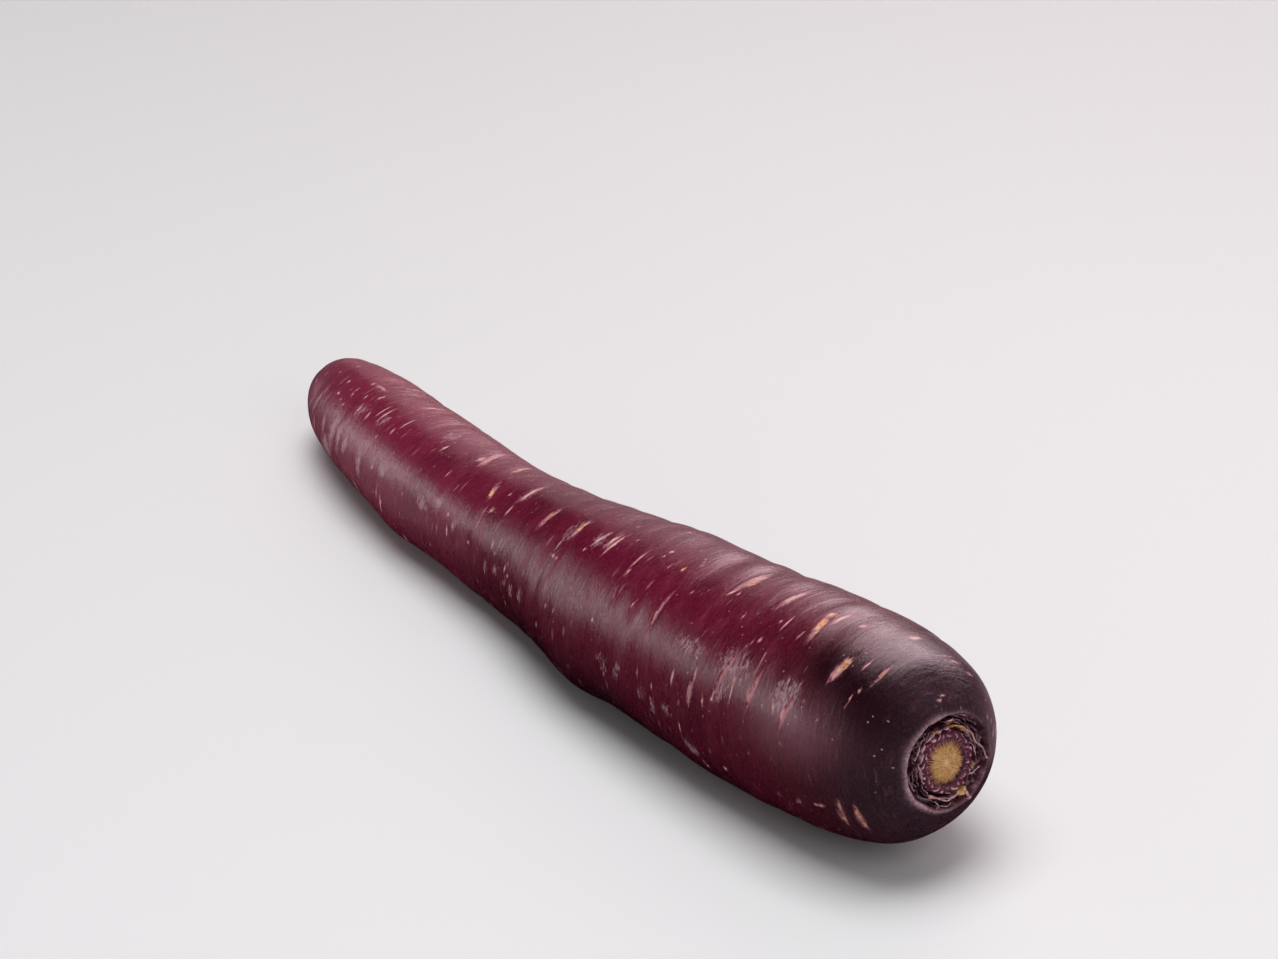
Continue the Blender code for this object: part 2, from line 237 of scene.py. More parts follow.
def woven_noise(distance, angle, every, lobes, seed):
    """Random numbers between minus and plus one on a lattice, eased between: a row for each step
    of `every` metres, and `lobes` columns round."""
    table = np.random.default_rng(seed).uniform(-1, 1, (int(LENGTH / every) + 3, lobes))
    u = np.clip(distance / every, 0, table.shape[0] - 1.001)
    v = (angle / TAU * lobes) % lobes
    i, j = np.floor(u).astype(int), np.floor(v).astype(int) % lobes
    a, b = eased(u - np.floor(u)), eased(v - np.floor(v))
    k = (j + 1) % lobes
    low = table[i, j] * (1 - b) + table[i, k] * b
    high = table[i + 1, j] * (1 - b) + table[i + 1, k] * b
    return low * (1 - a) + high * a


# Layers of woven noise: (height mm, a row every so many mm, columns round, seed).
SMOOTH_LAYERS = ((0.13, 9, 6, 1), (0.016, 1.6, 60, 5))
FOLD_LAYERS = ((0.045, 2.6, 11, 2), (0.028, 1.2, 16, 3), (0.014, 0.7, 22, 4))
CROWN_REACH = 11 * MM


def layered(distance, angle, layers):
    """Sum of layers of woven noise, in metres."""
    return MM * sum(
        height * woven_noise(distance, angle, every * MM, lobes, seed)
        for height, every, lobes, seed in layers
    )


def wrinkles(distance, angle):
    """Slow swells and small pits, and folds, which are finer along the root than round it. The
    folds are highest at the crown, where the skin dried most."""
    folding = 0.45 + 1.3 * bell(distance, CROWN_REACH)
    folds = layered(distance, angle, FOLD_LAYERS) * folding
    return layered(distance, angle, SMOOTH_LAYERS) + folds


print("wrinkles at one point:", wrinkles(np.array(50 * MM), np.array(2.0)) * 1000, "mm")

# %% [markdown]
# Then the marks. Thin side roots once grew out of this skin, and each left a slit across it. The
# slits are shallow grooves with a raised edge, at the solid's places or within two millimetres of
# them. Round them lie many streaks, scuffs and corky patches that are only colour. Each mark is
# an ellipse bent round the root. Its field is one at the middle and falls to nothing at the edge,
# like a cone, and it is kept as a number on each vertex. The shader cuts the cone with noise to
# give each mark its ragged edge.

# %% The marks: (distance mm, angle in degrees, length mm round the root, slant mm, width mm)
SLITS = (
    (7.3, 115, 8.0, 0.4, 0.5), (13.2, 123, 6.0, 0.8, 1.6), (8.1, 214, 6.5, 0.8, 1.0),
    (10.8, 209, 7.0, 1.2, 1.0), (19.8, 156, 8.5, 2.6, 0.8), (23.2, 109, 7.5, -1.3, 1.4),
    (28.3, 153, 8.5, 1.0, 0.9), (36.3, 151, 11.0, 3.4, 0.9), (43.3, 169, 7.5, 1.1, 0.9),
    (46.3, 97, 9.0, 0.6, 1.2), (57.4, 138, 10.0, 0.5, 0.8), (99.7, 117, 8.0, 0.8, 1.2),
    (121.3, 118, 5.5, -2.2, 1.1), (132.4, 92, 8.0, -2.4, 1.1),
)
STREAKS = (
    (7.3, 115, 8, 0.4, 0.8), (10.0, 116, 4.5, 0.3, 0.5), (8.5, 131, 1.8, 0, 0.7),
    (9.3, 139, 5.0, 0.9, 0.35), (11, 77, 5.5, 0.3, 1.9), (17.7, 95, 2.4, 0.2, 2.2),
    (13.5, 124.5, 9.0, 1.2, 1.9), (24, 99, 2.8, 0.6, 2.6), (23.2, 110, 6, -1.3, 1.7),
    (22, 97, 7, 0.2, 1.2), (34.8, 97, 11, 0.8, 2.6), (46, 93, 8, 0.8, 3.4),
    (46.7, 109, 4.6, 1.2, 0.8), (45.1, 109, 2.2, 0.2, 0.8), (31.3, 114, 1.3, 0, 1.2),
    (51, 114, 1.0, 0, 0.8), (53.8, 120, 1.8, 0.6, 0.7), (32.2, 127.5, 1.4, 0, 1.5),
    (34, 133, 3.4, 2.2, 0.45), (36.3, 151, 11.4, 3.4, 1.1), (37.6, 165, 3.0, 0.7, 1.1),
    (19.8, 156, 9, 2.7, 1.1), (20.4, 157, 3.4, 0.6, 1.2), (28.3, 153, 9, 1.0, 1.6),
    (43.3, 169, 8, 1.2, 1.5), (8.1, 214, 9.0, 0.9, 1.2), (10.7, 209, 9.2, 1.3, 1.1),
    (14.5, 205, 1.0, 0.3, 3.6), (19, 206, 1.6, 0.8, 2.2), (23.5, 206, 1.4, 0.5, 2.4),
    (36.7, 207, 1.2, 0, 1.6), (28.5, 186, 2.6, 3.8, 0.5), (20, 172, 0.9, 0, 0.9),
    (48, 184, 1.2, -0.4, 1.8), (48.5, 189, 1.0, 0, 0.8), (53.8, 178, 1.8, 0, 0.7),
    (54.3, 185, 1.4, 0.6, 1.0), (57.4, 138, 11, 0.5, 1.1), (60.1, 109, 2.2, 0.2, 0.9),
    (63.1, 111, 3.8, -0.8, 0.6), (66.3, 101, 0.9, 0, 1.6), (66.3, 107, 1.8, -0.8, 0.9),
    (58.2, 100, 2.8, -1.4, 0.6), (59, 96, 3.0, -2.0, 0.6), (62.6, 89, 1.6, -0.8, 0.7),
    (70.1, 116, 8.4, 0.2, 0.8), (69.8, 126, 3.0, 0.3, 0.9), (78, 114, 10, 1.2, 1.3),
    (79.2, 112, 7, 0.6, 1.8), (82, 114, 6.5, 1.5, 1.5), (83.4, 126, 1.5, 0, 1.5),
    (88.9, 114, 8.0, 0.2, 2.1), (90.6, 130, 5.4, 0.8, 1.0), (90.2, 139.5, 0.7, 0, 3.6),
    (88.8, 139.5, 1.0, 0, 1.0), (99.7, 117, 8.6, 0.8, 1.8), (74.8, 103, 1.8, -0.4, 0.6),
    (83.8, 170, 1.3, 0.3, 0.9), (86.5, 170, 1.2, 0.3, 1.3), (102.8, 169, 1.5, 0.4, 1.2),
    (72.4, 161, 1.6, -0.4, 0.9), (112.3, 104, 9.5, 0.3, 1.9), (112.6, 126, 4, 0.2, 1.0),
    (117.2, 133, 2.2, 0.3, 2.0), (116.5, 114, 1.3, -0.4, 1.2), (121.3, 118, 6.0, -2.2, 1.5),
    (124.2, 84, 9.0, -2.8, 1.5), (132.6, 87, 10, -2.6, 1.6), (133.5, 98, 3.6, 0, 2.4),
    (135.3, 127, 2.8, 0, 0.6), (137.8, 102, 1.0, 0, 1.0), (145.2, 88, 1.2, 0, 1.2),
    (142.9, 110, 4.4, -0.3, 0.8), (128.5, 155, 1.4, 0, 1.8), (120.3, 166, 0.9, 0.3, 1.6),
    (126.2, 161, 3.0, 0.9, 0.9), (161, 77, 8.0, 2.6, 1.2), (174.6, 99, 1.4, 0, 7.4),
    (164.4, 117, 8.4, 0.5, 0.9), (166, 118, 7.0, 0.3, 0.7), (168.4, 129, 3.4, -0.6, 1.0),
    (170.8, 110, 2.4, -0.8, 0.9), (172.4, 129, 5.4, 0.2, 1.0), (174.2, 117, 1.8, -0.6, 0.8),
    (178.8, 123, 1.8, -0.6, 1.0), (180.8, 120, 1.8, 0, 0.7), (181, 134, 0.8, 0.2, 1.4),
    (174, 132, 0.8, 0.2, 1.8), (178.8, 136, 1.8, 0.8, 0.8), (184.6, 115, 1.6, 0, 1.6),
    (184, 131, 1.4, 0.3, 1.8), (158.3, 126, 2.6, -0.6, 1.2), (157.4, 112, 6, 0, 0.8),
    (190, 94, 1.6, -0.4, 1.2), (192.6, 91, 2.6, -2.8, 0.9), (196.6, 124, 2.0, 0, 0.9),
    (198.4, 136, 3.2, 1.0, 0.8), (158, 163, 1.6, -0.4, 1.4), (152.7, 185, 1.4, 0.2, 1.4),
    (67.5, 187, 1.8, 1.8, 0.9), (43, 215, 3.0, -1.4, 1.0), (6.4, 66, 7.0, -0.5, 0.5),
    (5.6, 60, 5.0, -0.4, 0.4), (4.6, 49, 3.6, 0, 0.5), (2.2, 88, 5.0, -1.0, 0.4),
    (1.9, 21, 1.6, 0.1, 0.7), (2.2, 14, 2.2, 0.2, 0.6), (2.1, 4, 2.4, 0.4, 0.8),
    (3.0, 1, 2.8, 0.5, 0.8), (3.6, 359, 1.8, 0.4, 0.5),
)
CORKY = (
    (13.2, 122, 4.4, 0.6, 1.9), (23.4, 108, 6.0, -1.2, 1.5), (24, 99, 1.8, 0.3, 1.8),
    (8.1, 213, 7.4, 0.8, 0.8), (10.7, 209, 8.0, 1.2, 0.8), (7.2, 116, 3.4, 0.2, 0.8),
    (45.7, 98, 3.0, 0.3, 2.4), (121.2, 121, 3.6, -1.6, 1.2), (131.9, 95, 5.0, -2.2, 1.2),
    (88.8, 114, 3.0, 0, 1.4), (60.1, 109, 1.8, 0, 0.8), (124, 90, 3.0, -0.8, 0.9),
    (99.6, 114, 2.6, 0.2, 0.9),
)
SCUFFS = (
    (21, 148, 7, 1.5, 7.0), (34.5, 146, 7, 1.0, 11.0), (46, 147, 4, 1.0, 10.0),
    (36, 160, 6, 1.6, 4.0), (50, 186, 3.2, 0.8, 2.6), (54, 189, 4.4, 1.0, 2.2),
    (57, 186, 2.4, 0.6, 2.6), (64, 181, 4.6, 1.6, 2.4), (67.5, 184, 3.0, 1.0, 2.2),
    (69, 179, 2.4, 0.4, 3.0), (96.5, 175, 3.4, 0.8, 2.8), (101, 178, 4.0, 1.0, 2.4),
    (104, 175, 2.4, 0.6, 2.0), (109, 173, 3.0, 1.0, 2.6), (113, 176, 3.4, 1.0, 2.2),
    (133, 151, 3.0, 0.4, 4.0), (126, 160, 3.2, 0.8, 3.0), (138, 160, 3.2, -0.6, 5.0),
    (170.8, 163, 4.4, 0.2, 3.0), (174.5, 163, 8.0, -0.6, 2.8), (178.2, 165, 9.0, 0.8, 4.0),
    (183.6, 166, 4.4, -1.0, 2.2), (182, 186, 7, 1.5, 7.0), (163.6, 169, 6.4, -1.2, 2.6),
    (191.8, 154, 9.0, 5.0, 2.6), (197, 168, 5.0, 4.0, 1.6), (146, 94, 3.6, 0.4, 5.0),
    (45, 204, 4, -1.5, 4.0), (112.4, 108, 5, 0.2, 3.4), (163, 124, 4.0, 0.3, 3.0),
    (171.4, 129, 4.6, 0.2, 4.0), (154, 157, 4, 0.5, 4.0), (82, 116, 5, 1.0, 4.0),
    (90, 118, 6, 0.4, 4.4),
)

# %% More marks, from seeded draws
MORE_SCARS, SCAR_SEED, SCAR_WIDTH = 16, 23, 0.9 * MM
SCAR_START, SCAR_STEP = 28, 10.5
MORE_STREAKS, STREAK_SEED = 150, 41
# Lengths in mm, of the streaks on the seen side and of those on the rest.
SEEN_LENGTHS, HIDDEN_LENGTHS = (0.7, 0.9, 1.2, 2.0), (1.2, 2.0, 3.0, 5.0, 8.0)
FLECKS, FLECK_SEED = 520, 77


def in_metres(marks):
    """The same marks in metres and radians."""
    return [(d * MM, math.radians(a), n * MM, s * MM, w * MM) for d, a, n, s, w in marks]


def scar_list():
    """The slits seen from the front, then those on the rest of the skin, drawn as the solid's
    were."""
    draw = random.Random(SCAR_SEED)
    scars = in_metres(SLITS)
    for i in range(MORE_SCARS):
        scars.append((
            (SCAR_START + SCAR_STEP * i + draw.uniform(-3, 3)) * MM,
            math.radians((draw.choice((20, 55, 300, 335)) + draw.uniform(-9, 9)) % 360),
            draw.uniform(4, 8) * MM,
            draw.uniform(-1, 1) * MM,
            SCAR_WIDTH,
        ))
    return scars


def streak_list():
    """The streaks seen from the front, a pale one in each of the other slits, and then drawn
    ones, which are short on the seen side."""
    draw = random.Random(STREAK_SEED)
    streaks = in_metres(STREAKS)
    streaks += [(d, a, n * 1.1, s, 1.3 * MM) for d, a, n, s, _ in SCAR_LIST[len(SLITS):]]
    for _ in range(MORE_STREAKS):
        share = draw.uniform(0.05, 0.99) ** 0.85
        angle = draw.uniform(0, TAU)
        hidden = math.sin(angle + 0.9) < 0.35
        length = draw.choice(HIDDEN_LENGTHS if hidden else SEEN_LENGTHS)
        streaks.append((
            share * LENGTH,
            angle,
            length * draw.uniform(0.7, 1.2) * MM,
            draw.uniform(-0.9, 0.9) * MM * min(1, length / 3),
            draw.choice((0.5, 0.7, 1.0)) * MM,
        ))
    return streaks


def fleck_list():
    """Faint thin flecks all over, which lie along the wrinkles and are thickest near the tip."""
    draw = random.Random(FLECK_SEED)
    return [
        (
            draw.uniform(0.04, 1.0) ** 0.8 * LENGTH,
            draw.uniform(0, TAU),
            draw.uniform(0.8, 4.5) * MM,
            draw.uniform(-0.5, 0.5) * MM,
            draw.uniform(0.35, 0.8) * MM,
        )
        for _ in range(FLECKS)
    ]


SCAR_LIST = scar_list()
STREAK_LIST = streak_list()
print("slits, streaks, flecks, scuffs:", len(SCAR_LIST), len(STREAK_LIST), FLECKS, len(SCUFFS))


# %% Fields of the marks on a grid of points
LEAST_RADIUS, MARGIN = 3 * MM, 0.5 * MM


def mark_field(distance, angle, marks, power=1.0):
    """For each point the largest of 1 - sqrt((across / half width)^2 + (along / half length)^2),
    where `along` runs round the root and `across` is measured from the slanted middle line."""
    radius = np.maximum(girth(distance), LEAST_RADIUS)
    field = np.zeros(np.broadcast(distance, angle).shape)
    for place, centre, length, slant, width in marks:
        rows = np.abs(distance[:, 0] - place) < width + abs(slant) / 2 + MARGIN
        if not rows.any():
            continue
        along = around(angle, centre) * radius[rows] / (length / 2)
        across = (distance[rows] - place - along * slant / 2) / (width / 2)
        cone = 1 - np.sqrt(along**2 + across**2)
        field[rows] = np.maximum(field[rows], np.clip(cone, 0, 1) ** power)
    return field


# %% [markdown]
# Now the grid. Its first parameter runs from the middle of the crown's pit, up its wall, over the
# rolled lip and along the root to the tip. Its second runs round. The rings lie closer together
# near the crown, which the camera sees from nearby.

# %% The rings, from the middle of the pit to the tip
# The pit: (depth mm below the crown's plane, radius mm).
PIT = (
    (5.6, 0.0), (5.6, 3.6), (5.6, 6.9), (5.1, 7.6),
    (3.2, 7.9), (2.0, 8.1), (1.4, 8.4), (1.15, 8.9),
)
LIP_END, NEAR_END, FAR_END = 1.6 * MM, 70 * MM, 192 * MM
PIT_RINGS, NEAR_RINGS, FAR_RINGS, TIP_RINGS = 44, 280, 386, 30


def smooth_line(stations, steps):
    """A cubic through each column of the stations, read at evenly spaced places."""
    columns = np.array(stations, float).T
    places = np.arange(columns.shape[1])
    fine = np.linspace(0, places[-1], steps)
    return [through(np.stack([places, column], 1), fine) for column in columns]


def skin_rings():
    """Two columns, distance and radius, for every ring: the pit's profile, even steps along the
    near part and the far part, and steps that shorten like a sine's round the tip."""
    lip = (LIP_END / MM, girth(np.array(LIP_END)) / MM)
    depth, radius = [column * MM for column in smooth_line(PIT + (lip,), PIT_RINGS)]
    near = np.linspace(LIP_END, NEAR_END, NEAR_RINGS)[1:]
    far = np.linspace(NEAR_END, FAR_END, FAR_RINGS)[1:]
    tip = FAR_END + (LENGTH - FAR_END) * np.sin(np.linspace(0, TAU / 4, TIP_RINGS))[1:]
    outside = np.concatenate([near, far, tip])
    return np.concatenate([depth, outside]), np.concatenate([radius, girth(outside)])


print(len(skin_rings()[0]), "rings from the middle of the pit to the tip")

# %% Heights on the skin
# Low ridges over the top: (distance mm, angle in degrees, rise mm, width mm). The reach of each
# round the root is RIDGE_SPREAD, in radians.
RIDGES = (
    (24.5, 88, 0.18, 2.6), (38.5, 88, 0.20, 2.8), (49.8, 86, 0.18, 2.4), (60.0, 84, 0.22, 3.0),
    (114.5, 94, 0.15, 2.2), (126.5, 84, 0.16, 2.2), (136.0, 84, 0.16, 2.4), (148.0, 84, 0.12, 2.6),
)
RIDGE_SPREAD = 0.45
SCAR_DEPTH, BANK_HEIGHT = 0.35 * MM, 0.10 * MM
WALL_LAYER, WALL_WAVER = (0.22, 1.1, 34, 6), 50 * MM


def skin_height(distance, angle, outside):
    """Relief, wrinkles and ridges, less the grooves with their raised banks; in the pit only the
    folds of its shrivelled wall."""
    slits = [(d, a, n, s, w * 0.8) for d, a, n, s, w in SCAR_LIST]
    banks = [(d, a, n * 1.15, s, w * 2.0) for d, a, n, s, w in SCAR_LIST]
    slit = mark_field(distance, angle, slits)
    bank = mark_field(distance, angle, banks)
    height = relief(distance, angle) + wrinkles(distance, angle)
    for place, centre, rise, width in RIDGES:
        along = bell(distance - place * MM, width * MM)
        over = bell(around(angle, math.radians(centre)), RIDGE_SPREAD)
        height = height + rise * MM * along * over
    height = height - SCAR_DEPTH * np.sqrt(slit) + BANK_HEIGHT * bank * (slit < 0.02)
    wall = layered(distance + WALL_WAVER * np.sin(3 * angle), angle, (WALL_LAYER,))
    return height * outside + (1 - outside) * wall, slit, bank


# %% [markdown]
# Some of the colour belongs to no mark. A few wide places fade out slowly: painted shade under the
# crown's left and along the underside, paler places where dust lies with painted reflection and
# painted sheen, and rosier places of painted warm light, mostly on the top of the tip. A painted
# highlight runs on the lip of the pit. They could be painted by hand, but as bells they take one
# line each. They too are kept as numbers on the vertices.

# %% Soft patches: (distance mm, angle, reach mm, reach in degrees), and the painted lip highlight
# Painted shade, under the crown's left and along the underside.
PAINTED_SHADE = ((6, 146, 6, 30), (15, 126, 7, 16), (80, 226, 44, 42))
# Dust and painted reflection: painted reflection of the floor on the crown's lower right and right
# rim, painted sheen near the crown on the left, and dust with painted sheen on the tip's lower
# side.
DUST_AND_REFLECTION = (
    (10, 305, 7, 36), (19, 164, 10, 17), (175, 170, 34, 26), (150, 172, 22, 12),
    (204, 120, 10, 60), (181, 184, 13, 15), (7, 352, 3.5, 50),
)
# Painted warm light, mostly on the top of the tip and once low on its left.
PAINTED_WARM_LIGHT = ((168, 68, 32, 26), (140, 66, 18, 18), (196, 80, 14, 30), (181, 187, 15, 18))
# Where the painted highlight on the lip lies, and its width, in rings.
LIP_RING, LIP_WIDTH = 36.6, 2.5


def haze(distance, angle, patches):
    """Sum of the patches' mounds, at most one."""
    return np.minimum(sum(mound(distance, angle, *patch) for patch in patches), 1)


def painted_lip_highlight(row, angle):
    """A painted highlight on the lip: a bell across the rings of the lip, measured in rings. Its
    middle wavers by 0.6 of a ring. It is widest and brightest towards -Y, and smaller waves break
    it up."""
    middle = LIP_RING + 0.6 * np.cos(7 * angle)
    width = LIP_WIDTH + 1.1 * np.cos(angle - 3.3)
    broken = 0.12 * np.cos(3 * angle + 1) + 0.08 * np.cos(11 * angle)
    return bell(row - middle, width) * (0.46 + 0.36 * np.cos(angle - 3.0) + broken)


# %% The skin as one grid of points
SIDES = 132
PIT_DROP = -1.1 * MM
# The rings at which the pit's wall and its drop begin to fade, and over how many rings they do.
WALL_END, WALL_FADE = PIT_RINGS * 0.72, 12
DROP_END, DROP_FADE = PIT_RINGS * 0.8, PIT_RINGS * 0.6
PIT_FLOOR, TIP_CALM = 6 * MM, 1.5 * MM


def skin_grid():
    """Points, and the numbers that the shader reads. The pit's rings are a little flattened and
    set lower than the crown's middle, as the leaves stood, and the crown's lip rolls over evenly
    round them. The heights die out on the pit's floor and at the very tip."""
    distance, radius = [column[:, None] for column in skin_rings()]
    angle = np.linspace(0, TAU, SIDES, endpoint=False)[None, :]
    row = np.arange(len(distance))[:, None]
    outside = np.clip((row - WALL_END) / WALL_FADE, 0, 1)
    height, slit, bank = skin_height(distance, angle, outside)
    closed = np.clip((LENGTH - distance) / TIP_CALM, 0, 1)
    reach = np.where(radius > 0.01 * MM, radius + height * closed * (radius > PIT_FLOOR), 0)
    reach[-1] = 0
    within = eased(np.clip(1 - (row - DROP_END) / DROP_FADE, 0, 1))
    flattened = 0.06 * np.sin(angle) ** 2 + 0.09 * np.maximum(np.sin(angle), 0) ** 2
    reach = reach * (1 - within * flattened)
    point, _, side, up = frame_at(distance + 0 * angle)
    turned = np.cos(angle)[..., None] * side + np.sin(angle)[..., None] * up
    points = point + reach[..., None] * turned + PIT_DROP * within[..., None] * up
    fields = {
        "slit": slit,
        "bank": bank,
        "streak": mark_field(distance, angle, STREAK_LIST),
        "fleck": mark_field(distance, angle, fleck_list()),
        "corky": mark_field(distance, angle, in_metres(CORKY)),
        "scuff": mark_field(distance, angle, in_metres(SCUFFS), 0.6),
        "outside": outside + 0 * angle,
        # The painted highlight on the lip.
        "lip": painted_lip_highlight(row, angle),
        "painted_shade": haze(distance, angle, PAINTED_SHADE),
        "dust_and_reflection": haze(distance, angle, DUST_AND_REFLECTION),
        "painted_warm_light": haze(distance, angle, PAINTED_WARM_LIGHT),
    }
    waist = girth(np.maximum(distance, 8 * MM)) / MM
    unrolled = np.stack(
        [distance / MM + 0 * angle, np.cos(angle) * waist, np.sin(angle) * waist], axis=-1
    )
    return points, fields, unrolled


skin_points, skin_fields, skin_unrolled = skin_grid()
root_low, root_high = (np.array(corner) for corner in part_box("root"))
own_low, own_high = skin_points.min(axis=(0, 1)), skin_points.max(axis=(0, 1))
SHIFT = (root_low + root_high - own_low - own_high) / 2 * (1, 1, 0)
skin_points += SHIFT
skin_points[..., 2] = np.maximum(skin_points[..., 2], 0)
print("skin grid", skin_points.shape[:2], "shifted by", np.round(SHIFT * 1000, 2), "mm")

# %% [markdown]
# Every grid becomes a mesh in the same way, so one helper does it. It numbers the corners of all
# faces as arrays, hands them to Blender with from_pydata, and stores the numbers for the shader
# as attributes. Rings that shrink to a point are merged, which closes the poles.


# %% From a grid of points to a closed mesh
def grid_mesh(name, points, fields=None, vectors=None):
    """Each face joins two neighbours on a ring to the two beside them on the next. Attributes are
    written in the order of the vertices."""
    rings, sides, _ = points.shape
    index = np.arange(rings * sides).reshape(rings, sides)
    below, above = index[:-1], index[1:]
    corners = [below, np.roll(below, -1, axis=1), np.roll(above, -1, axis=1), above]
    faces = np.stack(corners, axis=-1).reshape(-1, 4)
    mesh = bpy.data.meshes.new(name)
    mesh.from_pydata(points.reshape(-1, 3).tolist(), [], faces.tolist())
    for field, values in (fields or {}).items():
        store = mesh.attributes.new(field, "FLOAT", "POINT")
        store.data.foreach_set("value", np.ascontiguousarray(values, np.float32).ravel())
    for field, values in (vectors or {}).items():
        store = mesh.attributes.new(field, "FLOAT_VECTOR", "POINT")
        store.data.foreach_set("vector", np.ascontiguousarray(values, np.float32).ravel())
    return mesh


def show(name, mesh, material, slot, *nodes):
    """Links the mesh as an object at the origin, closes its poles, turns its faces outwards,
    shades it smooth and ties it to the frame."""
    work = bmesh.new()
    work.from_mesh(mesh)
    bmesh.ops.remove_doubles(work, verts=work.verts, dist=1e-6)
    bmesh.ops.recalc_face_normals(work, faces=work.faces)
    work.to_mesh(mesh)
    work.free()
    mesh.shade_smooth()
    mesh.materials.append(material)
    piece = bpy.data.objects.new(name, mesh)
    bpy.context.scene.collection.objects.link(piece)
    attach(piece, "root")
    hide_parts(*nodes)
    print(name, len(mesh.vertices), "vertices", len(mesh.polygons), "faces")
    return piece


# %% [markdown]
# Finishes are node trees. A few helpers keep them readable: one adds a node and sets or links its
# inputs, and the others wrap the nodes used most. Linear colours are easier to pick from the
# everyday hex form, so that has a helper too. From here on, f is the finish at hand.


# %% Helpers for node trees
def colour(hexed):
    """A hex colour as linear red, green, blue and alpha."""
    parts = [int(hexed[i:i + 2], 16) / 255 for i in (0, 2, 4)]
    return tuple(p / 12.92 if p <= 0.04045 else ((p + 0.055) / 1.055) ** 2.4 for p in parts) + (1,)


class Finish:
    """A material whose nodes are added one call at a time."""

    def __init__(self, name):
        self.material = bpy.data.materials.new(name)
        self.material.use_nodes = True
        self.tree = self.material.node_tree
        self.shader = self.tree.nodes["Principled BSDF"]

    def put(self, socket, value):
        """Links another node's output to the socket, or sets its own value. A string is a hex
        colour."""
        if isinstance(value, bpy.types.NodeSocket):
            self.tree.links.new(value, socket)
        else:
            socket.default_value = colour(value) if isinstance(value, str) else value

    def add(self, kind, inputs, out=0, **settings):
        """A new node with its inputs and settings; what comes back is one of its outputs."""
        made = self.tree.nodes.new("ShaderNode" + kind)
        for name, value in settings.items():
            setattr(made, name, value)
        for key, value in inputs.items():
            self.put(made.inputs[key], value)
        return made.outputs[out]

    def attribute(self, name, out="Fac"):
        return self.add("Attribute", {}, out, attribute_name=name)

    def maths(self, operation, a, b):
        return self.add("Math", {0: a, 1: b}, operation=operation)

    def plus(self, a, b):
        return self.maths("ADD", a, b)

    def minus(self, a, b):
        return self.maths("SUBTRACT", a, b)

    def times(self, a, b):
        return self.maths("MULTIPLY", a, b)

    def stretch(self, vector, scale, offset=(0, 0, 0)):
        return self.add("Mapping", {"Vector": vector, "Scale": scale, "Location": offset})

    def noise(self, vector, scale=1.0, detail=3.0, rough=0.55, distortion=0.0):
        inputs = {"Vector": vector, "Scale": scale, "Detail": detail, "Roughness": rough}
        return self.add("TexNoise", inputs | {"Distortion": distortion}, "Fac")

    def between(self, value, low, high, to_low=0.0, to_high=1.0):
        """The value's place between low and high, eased, brought to the new range."""
        inputs = {0: value, 1: low, 2: high, 3: to_low, 4: to_high}
        return self.add("MapRange", inputs, interpolation_type="SMOOTHSTEP")

    def mix(self, factor, first, second):
        return self.add("Mix", {0: factor, 6: first, 7: second}, 2, data_type="RGBA")

    def ramp(self, value, *stops):
        made = self.tree.nodes.new("ShaderNodeValToRGB")
        elements = made.color_ramp.elements
        while len(elements) < len(stops):
            elements.new(0.5)
        for element, (place, hexed) in zip(elements, stops):
            element.position = place
            element.color = colour(hexed)
        self.put(made.inputs[0], value)
        return made.outputs[0]

    def bump(self, height, metres, before=None, strength=1.0):
        inputs = {"Height": height, "Distance": metres, "Strength": strength}
        if before is not None:
            inputs["Normal"] = before
        return self.add("Bump", inputs, "Normal")

    def finish(self, **sockets):
        for name, value in sockets.items():
            self.put(self.shader.inputs[name.replace("_", " ")], value)
        return self.material


# %% [markdown]
# The skin's finish. Its colour changes slowly along the root, from a violet-black crown through
# deep burgundy to a redder tip, and in patches. Over that lie the marks, the dust that handling
# left in the wrinkles, and pale specks. All patterns use the unrolled place: the distance along
# the root and the place round it, in millimetres. Squeezed along the root and stretched round
# it, a plain noise turns into fine lines that run round like the real ones.

# %% The skin's place and its noises
f = Finish("purple_skin_finish")
place = f.attribute("unrolled", "Vector")
along = f.add("SeparateXYZ", {0: place}, 0)
share = f.maths("DIVIDE", along, LENGTH / MM)
hairlines = f.noise(f.stretch(place, (1.9, 0.30, 0.30)), 1.0, 4, 0.7, 0.4)
fibres = f.noise(f.stretch(place, (1.5, 0.24, 0.24), (2, 5, 7)), 1.0, 5, 0.7, 0.2)
folds = f.noise(f.stretch(place, (0.55, 0.10, 0.10)), 1.0, 3, 0.55, 0.5)
patches = f.noise(f.stretch(place, (0.06, 0.06, 0.06)), 1.0, 3, 0.6)
blotches = f.noise(f.stretch(place, (0.30, 0.14, 0.14), (7, 3, 1)), 1.0, 4, 0.62)
grain = f.noise(place, 1.9, 4, 0.72)
fine = f.noise(f.stretch(place, (3.4, 1.6, 1.6), (4, 4, 1)), 1.0, 3, 0.7)
chalk = f.noise(f.stretch(place, (2.6, 0.75, 0.75), (9, 2, 4)), 1.0, 5, 0.8, 0.6)

